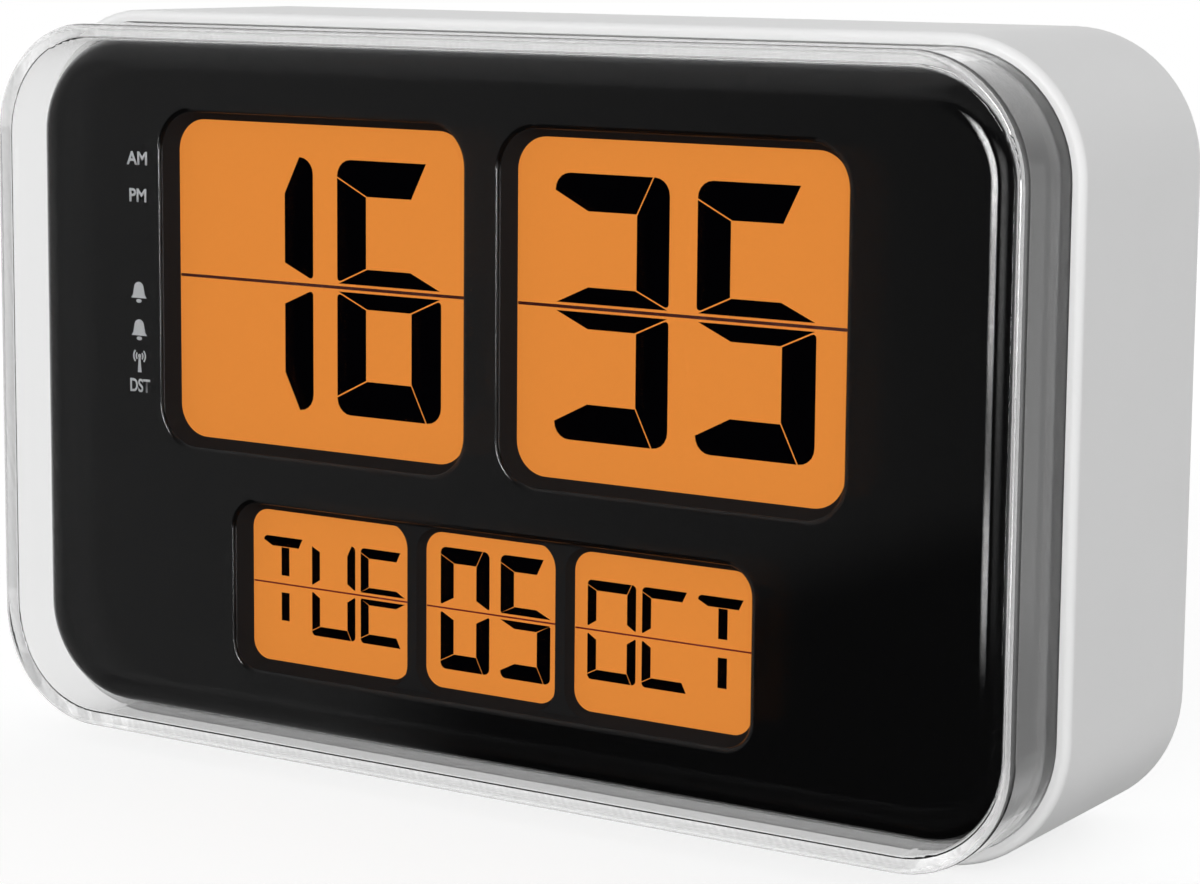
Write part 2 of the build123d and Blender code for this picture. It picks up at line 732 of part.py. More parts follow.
def make_cells():
    """Three round cells in a row, end for end by turns, with contacts on the bay's end walls."""
    end_wall = bay_length / 2
    nub_tip = end_wall - contact_thickness - contact_touch
    body_end = nub_tip - cell_nub_length
    body_start = body_end - cell_length
    cells = []
    plus_contacts = []
    minus_contacts = []
    for index in range(cell_count):
        side = -1 if index % 2 else 1
        rise = bay_rise + (index - (cell_count - 1) / 2) * cell_pitch
        axis = Plane(origin=(0, y_at(cell_depth), middle_z + rise), x_dir=(0, 1, 0), z_dir=(side, 0, 0))
        body = extrude(axis.offset(body_start) * Circle(cell_diameter / 2), amount=cell_length)
        body = fillet(body.edges(), cell_edge)
        body += extrude(axis.offset(body_end) * Circle(cell_nub_diameter / 2), amount=cell_nub_length)
        cells.append(body)
        square = Rectangle(contact_size, contact_size)
        end_plane = axis.offset(nub_tip + contact_touch)
        plus_contacts.append(extrude(end_plane * square, amount=contact_thickness))
        base = extrude(axis.offset(-end_wall) * square, amount=contact_thickness)
        leaf = make_leaf(axis, contact_thickness - end_wall, body_start - contact_touch)
        minus_contacts.append(base + leaf)
    save("battery_cells", cells)
    save("plus_contacts", plus_contacts)
    save("minus_contacts", minus_contacts)


def make_leaf(axis, foot, crest):
    """A bowed spring leaf that stands on a contact plate and reaches to a cell's base."""
    flat = Plane(origin=axis.origin, x_dir=axis.x_dir, z_dir=axis.z_dir.cross(axis.x_dir))
    sense = axis.z_dir.dot(flat.y_dir)
    half = contact_size / 2
    inner_half = half - leaf_thickness
    start = sense * foot
    outer_top = sense * crest
    inner_top = sense * (crest - leaf_thickness)
    outer = ThreePointArc((-half, start), (0, outer_top), (half, start))
    rim = Line((half, start), (inner_half, start))
    inner = ThreePointArc((inner_half, start), (0, inner_top), (-inner_half, start))
    other_rim = Line((-inner_half, start), (-half, start))
    outline = make_face([outer, rim, inner, other_rim])
    return extrude(flat * outline, amount=leaf_width / 2, both=True)


def make_buttons():
    """The caps in the back panel, a plunger behind each, and the board with their switches."""
    cap_back = panel_back + button_proud
    bore_front = plunger_front - button_travel - seat_clearance
    switches = []
    for name, (x, rise) in button_places.items():
        cap = prism(button_outline(name), flange_front, cap_back, x, rise)
        cap = fillet(edges_at(cap, cap_back), button_edge)
        cap += prism(button_outline(name, button_flange), flange_front, flange_back, x, rise)
        save(name + "_button", cap)
        save(name + "_plunger", peg(plunger_diameter, plunger_front, flange_front, x, rise))
        switch = plate(switch_size, switch_size, button_board_back, switch_back, x, rise)
        switch -= peg(plunger_diameter + plunger_fit, bore_front, switch_back + cut_overrun, x, rise)
        switches.append(switch)
    save("button_switches", switches)
    board = plate(button_board_width, button_board_height, button_board_front, button_board_back,
                  0, button_board_rise)
    for x, rise in button_boss_places:
        board -= screw_hole(button_board_front, button_board_back, x, rise)
    save("button_board", board)


def save(name, shape):
    """Write one node: a single solid, or a group of like solids."""
    if isinstance(shape, list):
        shape = Compound([solid for piece in shape for solid in piece.solids()])
    export_step(shape, os.path.join("parts", name + ".step"))


def main():
    os.makedirs("parts", exist_ok=True)
    save("clear_cover", make_cover())
    save("housing", make_housing())
    save("rubber_feet", make_feet())
    save("dial_bezel", make_bezel())
    save("bezel_screws", small_screws(bezel_post_places, ledge_back, bezel_screw_length))
    make_display()
    save("display_frame", make_display_frame())
    save("frame_screws", small_screws(ear_places, ear_back, frame_screw_length))
    make_main_board()
    save("main_board_screws", small_screws(main_hole_places, main_back, main_screw_length))
    save("ribbon_cable", make_ribbon())
    make_receiver()
    save("back_panel", make_back_panel())
    case_seat = panel_back - counterbore_depth
    save("case_screws", [screw(x, rise, case_seat, case_screw_length, case_shank, case_head,
                               case_head_height, True) for x, rise in case_post_places])
    save("buzzer", make_buzzer())
    save("battery_door", make_battery_door())
    make_cells()
    make_buttons()
    save("button_board_screws", small_screws(button_boss_places, button_board_front,
                                             button_screw_length, forwards=False))


main()
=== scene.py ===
import json
import math

import bmesh
import bpy
from bpy.props import FloatProperty, FloatVectorProperty, PointerProperty, StringProperty
from mathutils import Euler, Matrix, Vector

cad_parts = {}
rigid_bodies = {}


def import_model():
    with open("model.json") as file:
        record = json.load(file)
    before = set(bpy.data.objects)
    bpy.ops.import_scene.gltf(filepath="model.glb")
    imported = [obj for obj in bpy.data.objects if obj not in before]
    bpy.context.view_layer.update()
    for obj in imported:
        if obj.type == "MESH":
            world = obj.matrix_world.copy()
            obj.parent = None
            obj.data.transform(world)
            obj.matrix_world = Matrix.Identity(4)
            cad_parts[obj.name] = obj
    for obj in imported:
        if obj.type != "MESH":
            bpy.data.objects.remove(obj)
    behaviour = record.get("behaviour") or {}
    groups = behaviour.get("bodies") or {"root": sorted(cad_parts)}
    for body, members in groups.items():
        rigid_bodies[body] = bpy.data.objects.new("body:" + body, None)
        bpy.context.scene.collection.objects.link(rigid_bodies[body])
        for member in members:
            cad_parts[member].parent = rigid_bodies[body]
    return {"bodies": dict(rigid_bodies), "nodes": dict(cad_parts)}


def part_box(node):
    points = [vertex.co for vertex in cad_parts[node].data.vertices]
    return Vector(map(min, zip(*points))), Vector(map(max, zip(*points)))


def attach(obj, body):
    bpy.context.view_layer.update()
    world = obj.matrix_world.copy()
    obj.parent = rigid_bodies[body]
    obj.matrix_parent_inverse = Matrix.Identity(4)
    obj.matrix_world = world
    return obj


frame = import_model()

bl_info = {
    "name": "Radio-controlled clock",
    "version": (1, 0, 0),
    "blender": (4, 5, 0),
    "location": "3D View > Sidebar > Clock",
    "description": "Finishes, display and marks of a table clock, and the studio it stands in",
    "category": "Object",
}

CASE = "case"
BUTTONS = ("alarm_two", "alarm_one", "minus", "plus", "set", "search", "snooze")

# Which way a flat piece is turned to face the front or the back.
FRONT_TURN = Euler((math.pi / 2, 0, 0))
BACK_TURN = Euler((math.pi / 2, 0, math.pi))

BLACK = (0.0, 0.0, 0.0, 1.0)
WHITE = (1.0, 1.0, 1.0, 1.0)

# The clear cover's rounding, in metres: its corners seen from the front, and the edge of its front face.
COVER_CORNER = 0.0185
COVER_EDGE = 0.0011

# Where the split line of each window starts and ends, from left to right.
TIME_LINES = ((-0.0613, -0.0048), (0.0048, 0.0613))
DATE_LINES = ((-0.0465, -0.0156), (-0.0121, 0.0121), (0.0156, 0.0465))

# How far above the middle of the case each sign on the bezel stands.
SIGN_RISE = {
    "morning": 0.0360,
    "afternoon": 0.0300,
    "bell_one": 0.01435,
    "bell_two": 0.0082,
    "mast": 0.0031,
    "summer": -0.0011,
}
SUMMER_NARROW = 0.8

# The arrow on the battery door: its tip below the door's top, half its width, and its height.
ARROW_DROP = 0.0155
ARROW_HALF = 0.0025
ARROW_HEIGHT = 0.003

# Place and side of each softbox. Its power is the studio's value of the same name.
SOFTBOXES = {
    "key": ((-0.85, -0.60, 0.42), 0.6),
    "front": ((0.33, -1.05, 0.24), 0.8),
    "fill": ((1.08, 0.42, 0.42), 0.8),
    "top": ((0.0, 0.25, 1.35), 0.8),
    "back": ((-0.2, 1.15, 0.1), 0.8),
}

# The studio that gloss mirrors. A direction's right, away and up run from -1 to 1. Its bearing is in
# degrees, from straight in front of the clock round to the right. A pair says where a change starts and
# where it is whole. Four values say where a band starts, is full, ebbs and ends.
WALL_AWAY = (0.05, 0.45)
WALL_FOOT = (-0.60, -0.38)
WALL_RIGHT = (0.2, 0.5)
WALL_DIMMING = 0.36
GLOW_LEVEL = 0.336
GLOW_BEARINGS = (-46, -14)
GLOW_FOOT = (-0.25, -0.222)
GLOW_SLOPE = 0.005
GLOW_PIVOT = 37
GLOW_FAR_LEFT = (-0.60, -0.55)
GLOW_FADING = (-0.75, -0.30)
GLOW_LEAST = 0.5
CEILING_LEVEL = 0.20
CEILING_UP = (0.30, 0.60)
LIGHTS_UP = (-0.23, -0.195, 0.10, 0.30)
STRIP_BEARINGS = (-18, -13, -9, -5)
STRIP_BASE = 0.3
STRIP_LOWER = (-0.19, -0.16)
STRIP_LOWER_GAIN = 0.70
STRIP_UPPER = (-0.15, -0.115)
STRIP_UPPER_GAIN = 0.75
STRIP_TOP = (-0.105, -0.07)
STRIP_TOP_GAIN = 1.25
SECOND_BEARINGS = (0, 8, 12, 24)
SECOND_BASE = 0.3
SECOND_UP = (-0.20, -0.08)
SECOND_UP_GAIN = 1.3
SECOND_LEVEL = 1.2
BROAD_BEARINGS = (42, 56, 85, 100)
BROAD_LEVEL = 1.25
DARK_LEVEL = 0.002
COVER_CROSSINGS = (2.5, 3.5)


def clear_start_scene():
    """Delete what a new file holds, so that only the frame is left."""
    kept = set(frame["nodes"].values()) | set(frame["bodies"].values())
    for item in list(bpy.data.objects):
        if item not in kept:
            bpy.data.objects.remove(item)


clear_start_scene()
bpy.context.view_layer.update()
cover_low, cover_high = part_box("clear_cover")
glass_low, glass_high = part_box("lcd_glass")
door_low, door_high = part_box("battery_door")
housing_low, housing_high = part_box("housing")
cells_low, cells_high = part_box("battery_cells")
bezel_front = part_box("dial_bezel")[0].y
panel_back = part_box("back_panel")[1].y
middle_z = (housing_low.z + housing_high.z) / 2


def length(name, description, default):
    """A size in metres that a user may change."""
    return FloatProperty(name=name, description=description, default=default, unit="LENGTH", precision=5)


def colour(name, description, default):
    """A colour, as linear red, green and blue."""
    return FloatVectorProperty(name=name, description=description, default=default, subtype="COLOR",
                               size=3, min=0, max=1)


def angle(name, description, degrees):
    """An angle, given in degrees and kept in radians."""
    return FloatProperty(name=name, description=description, default=math.radians(degrees),
                         subtype="ANGLE")


def amount(name, description, default):
    """A plain number."""
    return FloatProperty(name=name, description=description, default=default, min=0)


class TimeDigits(bpy.types.PropertyGroup):
    """Sizes of the large digits."""
    width: length("Width", "Width of a digit", 0.0200)
    height: length("Height", "Height of a digit", 0.0402)
    stroke: length("Stroke", "Width of a segment", 0.0056)
    middle: length("Middle", "Height of each half of the middle segment", 0.0025)
    split_gap: length("Split gap", "From the split line to the segments beside it", 0.00064)
    joint_gap: length("Joint gap", "Between neighbouring segments", 0.00023)
    corner: length("Corner", "Rounding of the outer corners", 0.0026)
    tip: length("Tip", "Rounding of the tips beside the split line", 0.0009)
    pitch: length("Pitch", "From one digit to the next", 0.0248)
    hour_x: length("Hour place", "Middle of the hour's two digits", -0.0319)
    minute_x: length("Minute place", "Middle of the minute's two digits", 0.0339)
    split_rise: length("Split rise", "Split line above the middle of the case", 0.0174)
    line_width: length("Line width", "Width of the split line", 0.00048)


class DateDigits(bpy.types.PropertyGroup):
    """Sizes of the date's digits."""
    width: length("Width", "Width of a digit", 0.0092)
    height: length("Height", "Height of a digit", 0.0193)
    stroke: length("Stroke", "Width of a segment", 0.00245)
    middle: length("Middle", "Height of each half of the middle segment", 0.0012)
    split_gap: length("Split gap", "From the split line to the segments beside it", 0.0005)
    joint_gap: length("Joint gap", "Between neighbouring segments", 0.00013)
    corner: length("Corner", "Rounding of the outer corners", 0.0010)
    tip: length("Tip", "Rounding of the tips beside the split line", 0.0004)
    pitch: length("Pitch", "From one digit to the next", 0.0113)
    x: length("Place", "Middle of the two digits", 0.0008)
    split_rise: length("Split rise", "Split line above the middle of the case", -0.0313)
    line_width: length("Line width", "Width of the split line", 0.00025)


class DayLetters(bpy.types.PropertyGroup):
    """Sizes of the weekday's and the month's letters."""
    width: length("Width", "Width of a letter", 0.0086)
    height: length("Height", "Height of a letter", 0.0153)
    stroke: length("Stroke", "Width of a segment", 0.00155)
    middle: length("Middle", "Height of each half of the middle segment", 0.0009)
    split_gap: length("Split gap", "From the split line to the segments beside it", 0.0005)
    joint_gap: length("Joint gap", "Between neighbouring segments", 0.00013)
    corner: length("Corner", "Rounding of the outer corners", 0.0007)
    tip: length("Tip", "Rounding of the tips beside the split line", 0.0003)
    pitch: length("Pitch", "From one letter to the next", 0.0097)
    weekday_x: length("Weekday place", "Middle of the weekday", -0.0304)
    month_x: length("Month place", "Middle of the month", 0.0318)


class DisplayWords(bpy.types.PropertyGroup):
    """What the display shows."""
    hour: StringProperty(name="Hour", description="Two digits", default="16")
    minute: StringProperty(name="Minute", description="Two digits", default="35")
    date: StringProperty(name="Date", description="Two digits", default="05")
    weekday: StringProperty(name="Weekday", description="Three letters", default="TUE")
    month: StringProperty(name="Month", description="Three letters", default="OCT")


class Marks(bpy.types.PropertyGroup):
    """Sizes of the printed signs."""
    sign_x: length("Sign place", "Signs left of the hour window", -0.06765)
    sign_size: length("Sign size", "Size of the lettering on the bezel", 0.0030)
    bell_height: length("Bell height", "Height of a bell sign on the bezel", 0.0036)
    mast_height: length("Mast height", "Height of the mast sign on the bezel", 0.0038)
    back_size: length("Back size", "Size of the lettering on the back panel", 0.0042)
    back_drop: length("Back drop", "From a button's middle down to its mark", 0.0082)
    film: length("Film", "Thickness of print and of display segments", 0.00005)


class Colours(bpy.types.PropertyGroup):
    """Colours of the main finishes."""
    case_white: colour("Case", "Housing and back", (0.80, 0.80, 0.80))
    bezel_black: colour("Bezel", "Gloss front", (0.0026, 0.0026, 0.0027))
    # The window edges are matt, and lighter than the bezel: a painted sheen in place of the gloss that the
    # face shows.
    reveal_black_with_painted_sheen: colour("Window edges", "Matt black inside the windows", (0.019, 0.019, 0.0195))
    display_lit: colour("Display", "Lit display", (0.80, 0.262, 0.044))
    segment_ink: colour("Segments", "Dark display segments", (0.0006, 0.0005, 0.0010))
    time_line: colour("Time lines", "Split lines of the large windows", (0.045, 0.0036, 0.002))
    date_line: colour("Date lines", "Split lines of the small windows", (0.170, 0.006, 0.003))
    sign_silver: colour("Signs", "Print on the bezel", (0.62, 0.64, 0.66))
    mark_grey: colour("Marks", "Print on the back", (0.16, 0.16, 0.17))
    button_grey: colour("Buttons", "Push buttons", (0.33, 0.34, 0.35))


class Studio(bpy.types.PropertyGroup):
    """Camera and light."""
    camera_place: FloatVectorProperty(name="Camera", description="Where the camera stands",
                                      default=(0.27709, -0.41809, 0.13419), subtype="TRANSLATION",
                                      unit="LENGTH", size=3)
    lens: amount("Lens", "Focal length in millimetres", 96.47)
    turn: angle("Turn", "How far the camera turns to the left", 32.828)
    dip: angle("Dip", "How far the camera looks down", 7.791)
    lean: angle("Lean", "How far the camera leans", 0.492)
    lens_drop: amount("Lens drop", "How far the lens is shifted down, in picture widths", 0.06)
    ambient: amount("Ambient", "Light from all round on matt surfaces", 0.33)
    key_power: amount("Key softbox", "Power in watts, front left", 3.4)
    front_power: amount("Front softbox", "Power in watts, front right", 11.0)
    fill_power: amount("Fill softbox", "Power in watts, right", 2.0)
    top_power: amount("Top softbox", "Power in watts, above", 0.4)
    back_power: amount("Back softbox", "Power in watts, behind", 9.0)
    strip_level: amount("Strip light", "Brightness of the strip that shows in gloss", 11.0)
    floor_size: length("Floor", "Side of the floor", 2.4)


PROPERTY_GROUPS = {
    "clock_time": TimeDigits,
    "clock_date": DateDigits,
    "clock_days": DayLetters,
    "clock_words": DisplayWords,
    "clock_marks": Marks,
    "clock_colours": Colours,
    "clock_studio": Studio,
}


class Reading:
    """An output of a node. Arithmetic on readings adds Math nodes to the same tree."""

    def __init__(self, finish, socket):
        self.finish = finish
        self.socket = socket

    def __add__(self, other):
        return self.finish.math("ADD", self, other)

    def __sub__(self, other):
        return self.finish.math("SUBTRACT", self, other)

    def __rsub__(self, other):
        return self.finish.math("SUBTRACT", other, self)

    def __mul__(self, other):
        return self.finish.math("MULTIPLY", self, other)

    __radd__ = __add__
    __rmul__ = __mul__


class Finish:
    """The node tree of one material, or of the world."""

    def __init__(self, owner):
        owner.use_nodes = True
        self.owner = owner
        self.tree = owner.node_tree
        self.tree.nodes.clear()

    def node(self, kind, sockets=None, output=0, **settings):
        """Add a node: its settings first, then the values or links of its sockets."""
        made = self.tree.nodes.new(kind)
        for name, value in settings.items():
            setattr(made, name, value)
        for name, value in (sockets or {}).items():
            if isinstance(value, Reading):
                self.tree.links.new(value.socket, made.inputs[name])
            else:
                made.inputs[name].default_value = value
        if len(made.outputs):
            return Reading(self, made.outputs[output])
        return None

    def math(self, operation, first, second=0.0):
        return self.node("ShaderNodeMath", {0: first, 1: second}, operation=operation)

    def place(self):
        """The place of a point on the clock, in metres."""
        return self.node("ShaderNodeTexCoord", output="Object")

    def noise(self, size, detail=2.0):
        """Soft random patches of about a size in metres, from 0 to 1."""
        sockets = {"Vector": self.place(), "Scale": 1 / size, "Detail": detail}
        return self.node("ShaderNodeTexNoise", sockets)

    def axis(self, name):
        """One of the place's X, Y and Z."""
        return self.node("ShaderNodeSeparateXYZ", {"Vector": self.place()}, output=name)

    def ramp(self, value, low, high):
        """A value brought smoothly from between low and high to between 0 and 1."""
        return self.node("ShaderNodeMapRange", {"Value": value, "From Min": low, "From Max": high},
                         interpolation_type="SMOOTHSTEP")

    def band(self, value, start, full, ebb, end):
        """1 where a value lies between full and ebb, falling to 0 at start and end."""
        return self.ramp(value, start, full) * (1 - self.ramp(value, ebb, end))

    def waves(self, axis, pitch):
        """Even bands along an axis, up and down between 0 and 1 once in each pitch."""
        return self.math("PINGPONG", self.axis(axis) * (1 / pitch), 0.5) * 2.0

    def tint(self, first, second, factor):
        """A colour between two others."""
        return self.node("ShaderNodeMix", {0: factor, 6: first, 7: second}, output=2, data_type="RGBA")

    def mottle(self, shade, factor, darker, lighter):
        """A colour that varies between two shares of its brightness."""
        return self.tint(opaque(shade, darker), opaque(shade, lighter), factor)

    def relief(self, height, strength, distance):
        """A bumped normal."""
        return self.node("ShaderNodeBump", {"Height": height, "Strength": strength, "Distance": distance})

    def show(self, shader):
        """Let a shader make the surface, and hand back the material."""
        self.node("ShaderNodeOutputMaterial", {"Surface": shader})
        return self.owner

    def surface(self, sockets):
        """A surface of one Principled shader."""
        return self.show(self.node("ShaderNodeBsdfPrincipled", sockets))


def new_finish(name):
    return Finish(bpy.data.materials.new(name))


def opaque(shade, share=1.0):
    """A colour with its alpha, made lighter or darker by a share."""
    return (*[min(1.0, part * share) for part in shade], 1.0)


def moulded(name, shade, roughness=0.40, grain=0.0005, depth=0.00002):
    """Moulded plastic: a fine grain in relief, and a colour and shine that vary a little."""
    shine = 0.06
    finish = new_finish(name)
    cloud = finish.noise(size=0.03)
    fine = finish.noise(grain)
    return finish.surface({
        "Base Color": finish.mottle(shade, cloud, darker=0.98, lighter=1.02),
        "Roughness": roughness - shine / 2 + shine * fine,
        "Normal": finish.relief(fine, strength=0.4, distance=depth),
    })


def metal(name, shade):
    """Plated or drawn metal with a faint grain and dull patches."""
    grain = 0.0006
    grain_depth = 0.000008
    polished = 0.23
    dulling = 0.18
    finish = new_finish(name)
    patches = finish.noise(size=0.004)
    fine = finish.noise(grain, detail=4.0)
    return finish.surface({
        "Base Color": finish.mottle(shade, patches, darker=0.85, lighter=1.05),
        "Metallic": 1.0,
        "Roughness": polished + dulling * patches,
        "Normal": finish.relief(fine, strength=0.4, distance=grain_depth),
    })


def rim_distance(finish, low, high, corner):
    """How far inside a rounded rectangle round the case's middle a point is, seen from the front."""
    half_width = (high.x - low.x) / 2
    half_height = (high.z - low.z) / 2
    side = finish.math("ABSOLUTE", finish.axis("X")) - (half_width - corner)
    rise = finish.math("ABSOLUTE", finish.axis("Z") - middle_z) - (half_height - corner)
    side_over = finish.math("MAXIMUM", side, 0.0)
    rise_over = finish.math("MAXIMUM", rise, 0.0)
    outside = finish.math("SQRT", side_over * side_over + rise_over * rise_over)
    inside = finish.math("MINIMUM", finish.math("MAXIMUM", side, rise), 0.0)
    return corner - outside - inside


def clear_plastic(name):
    """Clear acrylic, polished, with the faintest haze in places and a painted highlight on its rim.

    The ends of its walls have a painted glow: an emission that stands in for the light the walls would
    guide, weaker at the top and at the right.
    """
    haze_range = (0.62, 0.85)
    haze_roughness = 0.02
    end_reach = (0.0003, 0.0001)
    top_reach = (0.008, 0.003)
    right_reach = (0.020, 0.004)
    # How much the painted glow of the wall ends is cut at the top and at the right.
    painted_glow_top_cut = 0.5
    painted_glow_right_cut = 0.55
    painted_end_glow = 0.27
    # Share and greys of the painted highlight along the rim of the front face.
    rim_highlight_share = 0.12
    rim_highlight_greys = ((0.80, 0.80, 0.80, 1.0), (0.86, 0.86, 0.86, 1.0))

    finish = new_finish(name)

    def near(axis, limit, reach):
        """1 where a point lies next to a side of the cover."""
        return finish.ramp(finish.axis(axis), limit - reach[0], limit - reach[1])

    haze = finish.ramp(finish.noise(size=0.02, detail=4.0), *haze_range)
    wall_end = near("Y", cover_high.y, end_reach)
    top_wall = near("Z", cover_high.z, top_reach)
    right_wall = near("X", cover_high.x, right_reach)
    painted_guided_glow = wall_end * (1 - painted_glow_top_cut * top_wall) * (1 - painted_glow_right_cut * right_wall)
    clear = finish.node("ShaderNodeBsdfPrincipled", {
        "Base Color": (0.99, 0.99, 0.99, 1.0),
        "Roughness": haze_roughness * haze,
        "IOR": 1.49,
        "Transmission Weight": 1.0,
        # Painted glow: the wall ends emit white, standing in for light that the walls would guide.
        "Emission Color": finish.tint(BLACK, WHITE, painted_guided_glow),
        "Emission Strength": painted_end_glow,
    })
    # Painted highlight: a pale opaque grey, lit by the lamps, mixed into the rim of the front face in
    # place of its light line.
    painted_rim_highlight = finish.node("ShaderNodeBsdfPrincipled", {
        "Base Color": finish.tint(*rim_highlight_greys, finish.noise(size=0.01)),
        "Roughness": 0.15,
    })
    inward = rim_distance(finish, cover_low, cover_high, COVER_CORNER)
    near_rim = 1 - finish.ramp(inward, COVER_EDGE * 0.55, COVER_EDGE * 0.95)
    behind = finish.axis("Y") - cover_low.y
    near_front = 1 - finish.ramp(behind, COVER_EDGE * 0.45, COVER_EDGE * 0.85)
    edge = finish.node("ShaderNodeMixShader", {0: rim_highlight_share * near_rim * near_front, 1: clear, 2: painted_rim_highlight})
    return finish.show(edge)


def gloss_black(name, shade, reveal_shade_with_painted_sheen):
    """Polished black plastic with a trace of ripple from the mould, matt inside the windows, where a
    lighter black is a painted sheen.
    """
    ripple_depth = 0.00002
    dust_range = (0.70, 0.80)
    sunk_from = 0.0003
    sunk_full = 0.0005
    glass_corner = 0.002
    glass_margin = 0.0005

    finish = new_finish(name)
    ripple = finish.noise(size=0.012)
    dust = finish.ramp(finish.noise(size=0.0007, detail=1.0), *dust_range)
    sunk = finish.ramp(finish.axis("Y"), bezel_front + sunk_from, bezel_front + sunk_full)
    within = finish.ramp(rim_distance(finish, glass_low, glass_high, glass_corner), 0.0, glass_margin)
    reveal = sunk * within
    polished = finish.mottle(shade, dust, darker=1.0, lighter=2.0)
    return finish.surface({
        # Inside the windows the surface is matt, and its lighter base is a painted sheen in place of the
        # coat's reflection.
        "Base Color": finish.tint(polished, opaque(reveal_shade_with_painted_sheen), reveal),
        "Roughness": 0.6 + 0.1 * ripple,
        "Specular IOR Level": 0.0,
        "Coat Weight": 1 - reveal,
        "Coat Roughness": 0.03,
        "Coat IOR": 1.5,
        "Normal": finish.relief(ripple, strength=0.03, distance=ripple_depth),
    })


def lit_display(name, shade):
    """A polariser lit evenly from behind and from the room."""
    unlit_share = 0.65
    glow = 0.56
    finish = new_finish(name)
    grain = finish.noise(size=0.0006, detail=3.0)
    return finish.surface({
        "Base Color": opaque(shade, unlit_share),
        "Roughness": 0.5 + 0.1 * grain,
        "Specular IOR Level": 0.1,
        "Emission Color": finish.mottle(shade, grain, darker=0.96, lighter=1.04),
        "Emission Strength": glow,
    })


def ink(name, shade, roughness=0.4, shine=0.5):
    """Print or display ink: flat, with a fine unevenness."""
    finish = new_finish(name)
    grain = finish.noise(size=0.0003, detail=3.0)
    return finish.surface({
        "Base Color": finish.mottle(shade, grain, darker=0.9, lighter=1.1),
        "Roughness": roughness + 0.1 * grain,
        "Specular IOR Level": shine,
    })


def circuit_board(name):
    """Green solder mask over a net of copper tracks."""
    track_depth = 0.00004
    finish = new_finish(name)
    upright = finish.node("ShaderNodeMapping", {"Vector": finish.place(), "Rotation": (math.pi / 2, 0, 0)})
    tracks = finish.node("ShaderNodeTexBrick", {
        "Vector": upright,
        "Scale": 120.0,
        "Mortar Size": 0.03,
        "Brick Width": 0.9,
        "Row Height": 0.28,
    }, output="Fac", offset=0.37)
    cloud = finish.noise(size=0.01)
    mask = finish.tint((0.010, 0.075, 0.030, 1.0), (0.016, 0.105, 0.042, 1.0), cloud)
    return finish.surface({
        "Base Color": finish.tint(mask, (0.040, 0.200, 0.075, 1.0), tracks),
        "Roughness": 0.30 + 0.12 * cloud,
        "Normal": finish.relief(tracks, strength=0.5, distance=track_depth),
    })


def banded(name, first, second, pitch, roughness=0.4):
    """Fine bands from side to side: on a ribbon, painted shade in the grooves between its strands; on a
    contact strip, its own layers.
    """
    crest_range = (0.25, 0.75)
    crest_depth = 0.00005
    finish = new_finish(name)
    crest = finish.ramp(finish.waves("X", pitch), *crest_range)
    cloud = finish.noise(size=0.006)
    return finish.surface({
        # The colour follows the relief: on the ribbon this is painted shade between strands, on the
        # contact strip its real layer colours.
        "Base Color": finish.tint(opaque(first), opaque(second), crest),
        "Roughness": roughness + 0.1 * cloud,
        "Normal": finish.relief(crest, strength=0.6, distance=crest_depth),
    })


def cell_sleeve(name):
    """A dry cell's sleeve: a pale grey body, a dark band at the plus end and bare steel ends."""
    scuff_depth = 0.00003
    half = (cells_high.x - cells_low.x) / 2
    row = (cells_high.z - cells_low.z) / 2
    row_edge = (row * 0.30, row * 0.36)
    band_edge = (half * 0.44, half * 0.46)
    cap_edge = (half * 0.945, half * 0.95)
    finish = new_finish(name)
    # The middle cell lies the other way round, so its band is at the other end.
    offset = finish.axis("Z") - (cells_low.z + row)
    outer_row = finish.ramp(finish.math("ABSOLUTE", offset), *row_edge)
    along = finish.axis("X") * (2.0 * outer_row - 1.0)
    band = finish.ramp(along, *band_edge)
    cap = finish.ramp(finish.math("ABSOLUTE", finish.axis("X")), *cap_edge)
    scuff = finish.noise(size=0.004, detail=4.0)
    pale = finish.tint((0.36, 0.37, 0.39, 1.0), (0.46, 0.47, 0.49, 1.0), scuff)
    sleeve = finish.tint(pale, (0.030, 0.050, 0.085, 1.0), band)
    return finish.surface({
        "Base Color": finish.tint(sleeve, (0.60, 0.60, 0.58, 1.0), cap),
        "Metallic": finish.math("MAXIMUM", cap, 0.5 - 0.5 * band),
        "Roughness": 0.30 + 0.12 * scuff,
        "Normal": finish.relief(scuff, strength=0.2, distance=scuff_depth),
    })


def capacitor_can(name):
    """An aluminium can in a dark sleeve that leaves its top bare."""
    bare_from = 0.0006
    bare_full = 0.0004
    scuff_depth = 0.00002
    top_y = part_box("capacitors")[1].y
    finish = new_finish(name)
    bare = finish.ramp(finish.axis("Y"), top_y - bare_from, top_y - bare_full)
    scuff = finish.noise(size=0.002, detail=4.0)
    return finish.surface({
        "Base Color": finish.tint((0.015, 0.017, 0.030, 1.0), (0.75, 0.75, 0.76, 1.0), bare),
        "Metallic": bare,
        "Roughness": 0.32 + 0.12 * scuff,
        "Normal": finish.relief(scuff, strength=0.2, distance=scuff_depth),
    })


